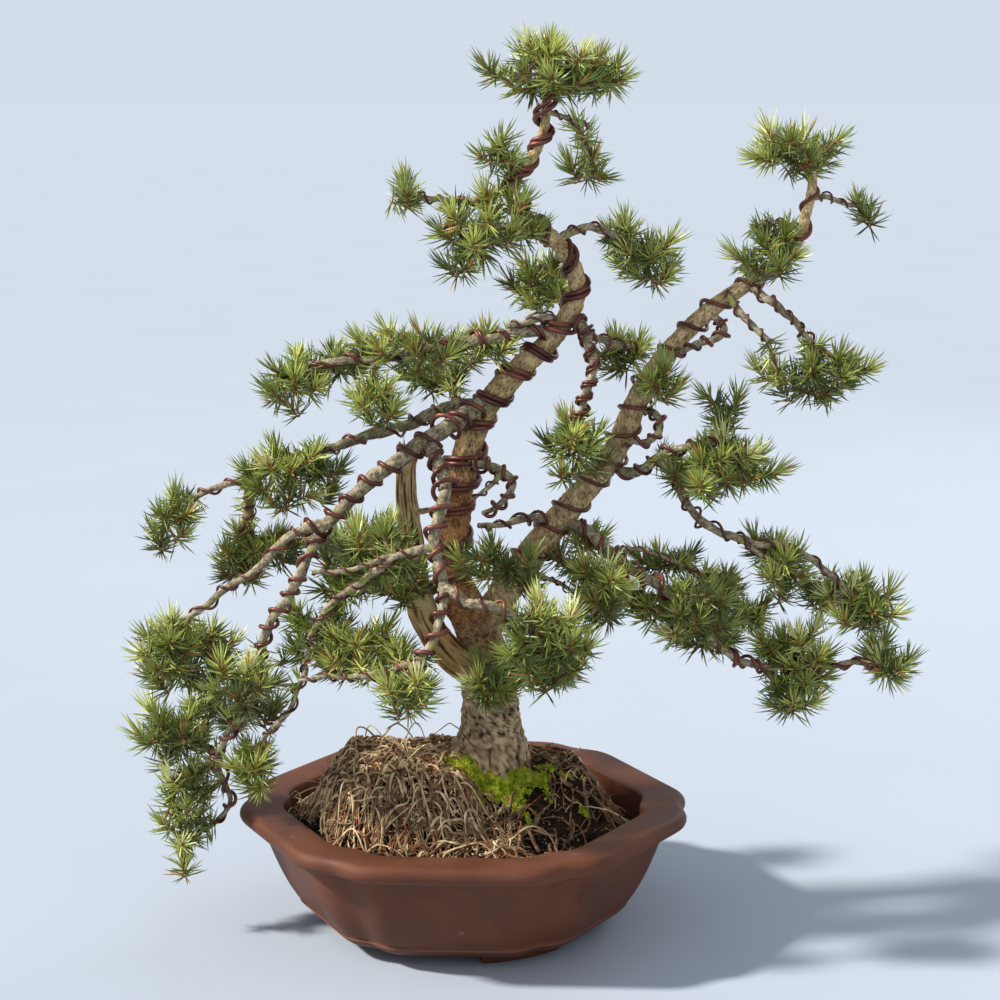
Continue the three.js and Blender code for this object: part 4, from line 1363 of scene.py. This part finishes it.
for name, (begin, finish, gauge, pitch, slack, strands) in WINDINGS.items():
    share = np.linspace(begin, finish, 140)
    path = on_path(limb_paths[name], share)
    radius = girth_radius(name, share)
    wire = gauge * MM / 2
    for strand in range(strands):
        phase = len(name) * 1.3 + strand * math.tau * 1.08 * gauge / pitch
        size = "thick" if gauge > THICK_WIRE_MM else "thin"
        wires[size].append(winding(path, radius, pitch * MM, slack, wire, phase))
        gauges[size].append(np.full(len(wires[size][-1]), wire))

# %% Wire on the stouter twigs, and the wire's skins
TWIG_WIRE = 0.0009
TWIG_WIRE_PITCH = 0.015
WIRED_TWIG_FEEDS = 4
for path, radius, (source, first, last) in zip(twig_paths, twig_radii, twigs):
    if fed[first] >= WIRED_TWIG_FEEDS and len(path) > 5:
        wires["thin"].append(winding(path, radius, TWIG_WIRE_PITCH, 1.0, TWIG_WIRE, float(first)))
        gauges["thin"].append(np.full(len(wires["thin"][-1]), TWIG_WIRE))
for size, sides in (("thick", 10), ("thin", 6)):
    piece(close_ends(skins(wires[size], gauges[size], sides)), "wire_" + size, copper_wire)

# %% [markdown]
# ## Needles
#
# Pine needles grow in pairs from one sheath. They are thickest on the last inches of a shoot and stand out
# from it at a wider angle the older they are, so a shoot seen end on is a star. One needle is a cone of
# three sides with a middle ring, ten triangles, and arrays place the copies. Older needles stand sparsely
# along the twig behind each brush. Each brush takes one tint, with its outer needles a tone darker, and the
# tints are separate pieces. The tints paint light and shade: brushes high in their cloud are lighter, those
# low and inside darker. A brown sheath stands at the foot of each pair.

# %% One needle and one bud
needle_shape = bmesh.new()
bmesh.ops.create_cone(needle_shape, cap_ends=True, segments=3, radius1=0.5, radius2=0.0, depth=1.0)
bmesh.ops.translate(needle_shape, verts=needle_shape.verts, vec=(0, 0, 0.5))
side_edges = [edge for edge in needle_shape.edges if abs(edge.verts[0].co.z - edge.verts[1].co.z) > 0.5]
bmesh.ops.subdivide_edges(needle_shape, edges=side_edges, cuts=1)
for point in needle_shape.verts:
    if 0.3 < point.co.z < 0.7:
        point.co.x *= 1.9
        point.co.y *= 1.9
        point.co.z = 0.6
needle_template = template_from(needle_shape)

bud_shape = bmesh.new()
bmesh.ops.create_icosphere(bud_shape, subdivisions=1, radius=0.5)
for point in bud_shape.verts:
    taper = 1 - 0.7 * max(point.co.z, 0)
    point.co = (point.co.x * taper, point.co.y * taper, point.co.z + 0.35)
bud_template = template_from(bud_shape)
print("needle triangles", len(needle_template.polygons))

# %% Brushes of needles
PAIRS_PER_BRUSH = 23
NEEDLE_LENGTH = 0.0295
NEEDLE_WIDTH = 0.00185
BRUSH_DEPTH = 0.021
PAIR_SPREAD = 0.12
YOUNG_LEAN = 8
OLD_LEAN = 96
GOLDEN = math.pi * (3 - math.sqrt(5))


def brush(tip, way, pairs, length):
    """Foot, direction, length and way out of each needle of one brush round the end of a shoot."""
    age = (np.arange(pairs) + 0.5) / pairs
    turn = np.arange(pairs) * GOLDEN + rng.uniform(0, math.tau)
    lean = np.radians(YOUNG_LEAN + (OLD_LEAN - YOUNG_LEAN) * age**0.75) + rng.normal(0, 0.17, pairs)
    side = unit(np.cross(way, random_directions(1)[0]))
    other = np.cross(way, side)
    out = np.cos(turn)[:, None] * side + np.sin(turn)[:, None] * other
    aim = np.cos(lean)[:, None] * way + np.sin(lean)[:, None] * out
    aim = unit(aim + 0.10 * UP)
    feet = tip - way * (age * BRUSH_DEPTH)[:, None] + out * 0.001
    spread = unit(np.cross(aim, random_directions(pairs))) * PAIR_SPREAD
    feet = np.repeat(feet, 2, axis=0)
    aims = unit(np.stack([aim + spread, aim - spread], axis=1).reshape(-1, 3))
    sizes = length * rng.uniform(0.72, 1.08, 2 * pairs) * np.repeat(1 - 0.12 * age, 2)
    return feet, aims, sizes, np.repeat(out, 2, axis=0)


# %% Tints, dealt out by brush
# From shaded to lit. Height in the cloud and a random spread pick a brush's tint: painted light and shade.
TINT_ORDER = ("deep", "green", "fresh", "sunny")
CLOUD_HALF_HEIGHT = 0.035
WHOLE_DRY_CHANCE = 0.0008
DRY_NEEDLE_CHANCE = 0.045
sprays = {tint: [] for tint in NEEDLE_TINTS}


def tint_of(tip, centre):
    """Painted light and shade: brushes high in their cloud are lighter, those low and inside darker."""
    height = (tip - centre)[2] / CLOUD_HALF_HEIGHT
    light = 1.3 + 0.75 * height + rng.normal(0, 0.8)
    return TINT_ORDER[int(np.clip(round(light), 0, 3))]


sheaths = []
for tip, centre, way in zip(shoots, centres, shoot_ways):
    scale = rng.uniform(0.88, 1.1)
    pairs = int(PAIRS_PER_BRUSH * rng.uniform(0.8, 1.2))
    made = brush(tip, way, pairs, NEEDLE_LENGTH * scale)
    tint = "dry" if rng.random() < WHOLE_DRY_CHANCE else tint_of(tip, centre)
    dry = rng.random(2 * pairs) < DRY_NEEDLE_CHANCE
    # The outer needles of a brush are a year older and a tone darker.
    older = (np.arange(2 * pairs) > pairs) & ~dry
    darker = tint if tint in ("dry", "deep") else TINT_ORDER[TINT_ORDER.index(tint) - 1]
    sprays[tint].append([part[~dry & ~older] for part in made])
    sprays[darker].append([part[older] for part in made])
    sprays["dry"].append([part[dry] for part in made])
    sheaths.append([part[::2] for part in (made[0], made[3] * 0.5 + made[1])])

# %% Older needles behind the brushes, more of them towards the brush
OLD_NEEDLE_SPACING = 0.0015
OLD_NEEDLE_REACH = 0.040
for (source, first, last), path, radius in zip(twigs, twig_paths, twig_radii):
    back = np.linalg.norm(path - path[-1], axis=1)
    count = int(min(back[0], OLD_NEEDLE_REACH) / OLD_NEEDLE_SPACING)
    along = rng.power(1.6, count) if count else np.zeros(0)
    behind = BRUSH_DEPTH * 0.7 + (1 - along) * OLD_NEEDLE_REACH
    order = np.argsort(back)
    feet = np.column_stack([np.interp(behind, back[order], path[order, k]) for k in range(3)])
    way = unit(path[-1] - path[max(0, len(path) - 5)])
    out = unit(np.cross(way, random_directions(count)))
    lean = np.radians(rng.uniform(45, 85, count))[:, None]
    aims = unit(np.cos(lean) * way + np.sin(lean) * out + 0.15 * UP)
    sizes = NEEDLE_LENGTH * rng.uniform(0.7, 1.0, count)
    tint = TINT_ORDER[int(np.clip(round(rng.normal(1.0, 0.7)), 0, 2))]
    sprays[tint].append([feet, aims, sizes, out])

# %% Needle pieces
NEEDLES_PER_PIECE = 19000
for tint, parts in sprays.items():
    feet, aims, sizes, out = (np.concatenate([part[k] for part in parts]) for k in range(4))
    bends = -out * (sizes * rng.uniform(0.0, 0.16, len(sizes)))[:, None] + UP * (sizes * 0.05)[:, None]
    widths = NEEDLE_WIDTH * rng.uniform(0.85, 1.15, len(sizes))
    for block in range(math.ceil(len(feet) / NEEDLES_PER_PIECE)):
        take = slice(block * NEEDLES_PER_PIECE, (block + 1) * NEEDLES_PER_PIECE)
        mesh = scatter(needle_template, feet[take], aims[take], widths[take], sizes[take], bends[take])
        piece(mesh, f"needles_{tint}_{block + 1}", needle_finishes[tint], smooth=False)

# %% Sheaths and buds
SHEATH_WIDTH = 0.0024
SHEATH_LENGTH = 0.0055
BUD_WIDTH = 0.0032
sheath_feet, sheath_ways = (np.concatenate([part[k] for part in sheaths]) for k in range(2))
sheath_shape = bmesh.new()
bmesh.ops.create_cone(sheath_shape, cap_ends=False, segments=3, radius1=0.5, radius2=0.3, depth=1.0)
bmesh.ops.translate(sheath_shape, verts=sheath_shape.verts, vec=(0, 0, 0.4))
sheath_mesh = scatter(template_from(sheath_shape), sheath_feet, unit(sheath_ways),
                      np.full(len(sheath_feet), SHEATH_WIDTH), np.full(len(sheath_feet), SHEATH_LENGTH))
piece(sheath_mesh, "sheaths", bud_scales, smooth=False)

buds = rng.random(len(shoots)) < 0.9
bud_mesh = scatter(bud_template, shoots[buds] - shoot_ways[buds] * 0.0005, shoot_ways[buds],
                   np.full(buds.sum(), BUD_WIDTH), rng.uniform(0.006, 0.009, buds.sum()))
piece(bud_mesh, "buds", bud_scales)

# %% [markdown]
# ## Roots, grit and moss
#
# The top of the block is a mat of fine curling roots, tan where they have dried, with red and dark ones
# between and a few long ones that arch over it. Low at the front the pale ones are fewer. Each root wanders
# over the ground with a slowly changing heading, rises and dips, and is turned into a tube with the others
# of its kind. Grit, chips of root, dry needles and a cushion of moss at the trunk's foot lie between.

# %% Where roots may lie
BLOCK_MIDDLE = np.array([-0.130, -0.022])
BLOCK_REACH = np.array([0.125, 0.135])
POT_REACH = 0.21
RIM_GAP = 0.008
foot_place = limb_paths["trunk"][0]
MOSS_MIDDLE = foot_place[:2] + np.array([0.004, -0.040])
MOSS_REACH = np.array([0.106, 0.050])


def in_pot(xs, ys):
    """Whether places lie inside the pot's mouth."""
    dx = xs - POT_MIDDLE[0]
    dy = ys - POT_MIDDLE[1]
    return np.hypot(dx, dy) * np.cos(off_lobe(np.arctan2(dy, dx))) < LIP_INNER - RIM_GAP


# %% Roots
ROOT_STEP = 0.0035
BARE_MOSS = 0.5
OVER_MOSS_CHANCE = 0.15
LOW_GROUND = 0.152


def wander_root(x, y, heading, length, curl, lift, thick):
    """Line of one root over the ground, up to where it would leave the pot."""
    count = int(length / ROOT_STEP)
    turns = np.cumsum(rng.normal(0, curl, count)) * ROOT_STEP * 60 + heading
    turns += curl * 2.2 * np.sin(np.arange(count) * rng.uniform(0.1, 0.5) + rng.uniform(0, 6))
    xs = x + np.cumsum(np.cos(turns)) * ROOT_STEP
    ys = y + np.cumsum(np.sin(turns)) * ROOT_STEP
    rise = np.abs(np.sin(np.linspace(rng.uniform(0, 1), rng.uniform(2, 6), count))) * lift
    rise *= np.sin(np.linspace(0.15, math.pi - 0.1, count))
    inside = in_pot(xs, ys)
    stop = count if inside.all() else int(np.argmin(inside))
    zs = ground(xs, ys) + rise + thick * 0.2 - 0.001
    return np.column_stack([xs, ys, zs])[:stop]


def root_set(count, over_pot, lengths, curl, lift, girths, kept_low):
    """Lines and thicknesses of roots. Some start anywhere in the pot, the others on the block. Few cross the
    moss, and low on the ground only a share is kept."""
    paths = []
    thicknesses = []
    while len(paths) < count:
        if rng.random() < over_pot:
            x, y = POT_MIDDLE + rng.uniform(-POT_REACH, POT_REACH, 2)
        else:
            x, y = BLOCK_MIDDLE + rng.uniform(-1, 1, 2) * BLOCK_REACH
        thick = rng.uniform(*girths)
        path = wander_root(x, y, rng.uniform(0, math.tau), rng.uniform(*lengths), curl, lift, thick)
        if len(path) < 4:
            continue
        if path[0][2] < LOW_GROUND and rng.random() > kept_low:
            continue
        from_moss = np.hypot(*((path[:, :2] - MOSS_MIDDLE) / MOSS_REACH).T)
        if from_moss.min() > BARE_MOSS or rng.random() < OVER_MOSS_CHANCE:
            paths.append(path)
            thicknesses.append(thick * np.linspace(1, 0.45, len(path)))
    return paths, thicknesses


# name, number, share over the whole pot, lengths, curl, lift, girths, share kept low, finish, sides
ROOT_SETS = (
    ("roots_pale_fine", 1350, 0.16, (0.014, 0.045), 0.50, 0.006, (0.0005, 0.0010), 0.40, pale_roots, 4),
    ("roots_pale_stout", 380, 0.14, (0.018, 0.065), 0.36, 0.011, (0.0010, 0.0021), 0.35, pale_roots, 8),
    ("roots_arching", 30, 0.5, (0.06, 0.13), 0.20, 0.030, (0.0008, 0.0013), 1.0, pale_roots, 8),
    ("roots_red", 330, 0.20, (0.014, 0.060), 0.40, 0.008, (0.0006, 0.0014), 0.8, red_roots, 6),
    ("roots_dark", 860, 0.60, (0.02, 0.08), 0.34, 0.008, (0.0008, 0.0026), 1.0, dark_roots, 6),
)
for name, *settings, finish, sides in ROOT_SETS:
    paths, thicknesses = root_set(*settings)
    mesh = skins(paths, thicknesses, sides)
    grain = [noise.fractal(Vector(p * 300), 1.0, 2.0, 2) for p in points_of(mesh)]
    store(mesh, "depth", np.clip(0.25 - np.array(grain), 0, 1))
    piece(close_ends(mesh), name, finish)

# %% Grit, crumbs of soil, chips of root and dry needles
chip_shape = bmesh.new()
bmesh.ops.create_icosphere(chip_shape, subdivisions=1, radius=0.5)
for point in chip_shape.verts:
    point.co *= 1 + 0.35 * noise.noise(point.co * 3.1)
chip_template = template_from(chip_shape)


def strewn(count, sizes, rise):
    """Places on the ground, all over the pot, and a size for each."""
    spots = POT_MIDDLE + rng.uniform(-POT_REACH, POT_REACH, (count * 2, 2))
    spots = spots[in_pot(spots[:, 0], spots[:, 1])][:count]
    heights = ground(spots[:, 0], spots[:, 1]) + rise
    return np.column_stack([spots, heights]), rng.uniform(*sizes, len(spots))


def lying(count, slope):
    """Random directions, nearly level where the slope is small."""
    return unit(random_directions(count) * [1, 1, slope])


spots, sizes = strewn(1300, (0.0015, 0.0045), 0.0)
stones = scatter(chip_template, spots, random_directions(len(spots)), sizes, sizes * 0.7)
piece(stones, "grit", grit)
spots, sizes = strewn(3600, (0.002, 0.006), -0.0008)
crumbs = scatter(chip_template, spots, random_directions(len(spots)), sizes, sizes * 0.8)
piece(crumbs, "crumbs", soil)
spots, sizes = strewn(2400, (0.003, 0.008), 0.003)
spots = spots[spots[:, 0] < foot_place[0]]
sizes = sizes[: len(spots)]
chips = scatter(chip_template, spots, lying(len(spots), 0.4), sizes * 0.35, sizes)
piece(chips, "root_chips", pale_roots)
FALLEN_NEEDLE_WIDTH = 0.0011
spots, sizes = strewn(260, (0.016, 0.027), 0.003)
widths = np.full(len(spots), FALLEN_NEEDLE_WIDTH)
fallen = scatter(needle_template, spots, lying(len(spots), 0.18), widths, sizes)
piece(fallen, "fallen_needles", litter, smooth=False)

# %% Moss
MOSS_STEMS = 9000
MOSS_WIDTH = 0.0014
MOSS_SWELL = 0.006
PATCHINESS = 0.8
MOSS_EDGE = 0.62
moss_shape = bmesh.new()
bmesh.ops.create_cone(moss_shape, cap_ends=True, segments=3, radius1=0.5, radius2=0.08, depth=1.0)
bmesh.ops.translate(moss_shape, verts=moss_shape.verts, vec=(0, 0, 0.5))
moss_template = template_from(moss_shape)
tries = rng.uniform(-1, 1, (MOSS_STEMS * 3, 2))
patch = np.array([noise.fractal(Vector((x * 3.6, y * 2.4, 7)), 0.8, 2.0, 4) for x, y in tries])
tries = tries[np.hypot(*tries.T) + PATCHINESS * patch < MOSS_EDGE][:MOSS_STEMS]
spots = MOSS_MIDDLE + tries * MOSS_REACH
swell = MOSS_SWELL * np.clip(1 - np.hypot(*tries.T), 0, 1)
swell = swell + np.array([0.003 * noise.noise(Vector((x * 70, y * 70, 1))) for x, y in spots])
stems = np.column_stack([spots, ground(spots[:, 0], spots[:, 1]) + swell])
ways = unit(random_directions(len(stems)) * 0.7 + UP)
widths = np.full(len(stems), MOSS_WIDTH)
moss_mesh = scatter(moss_template, stems, ways, widths, rng.uniform(0.002, 0.0045, len(stems)))
piece(moss_mesh, "moss", moss, smooth=False)
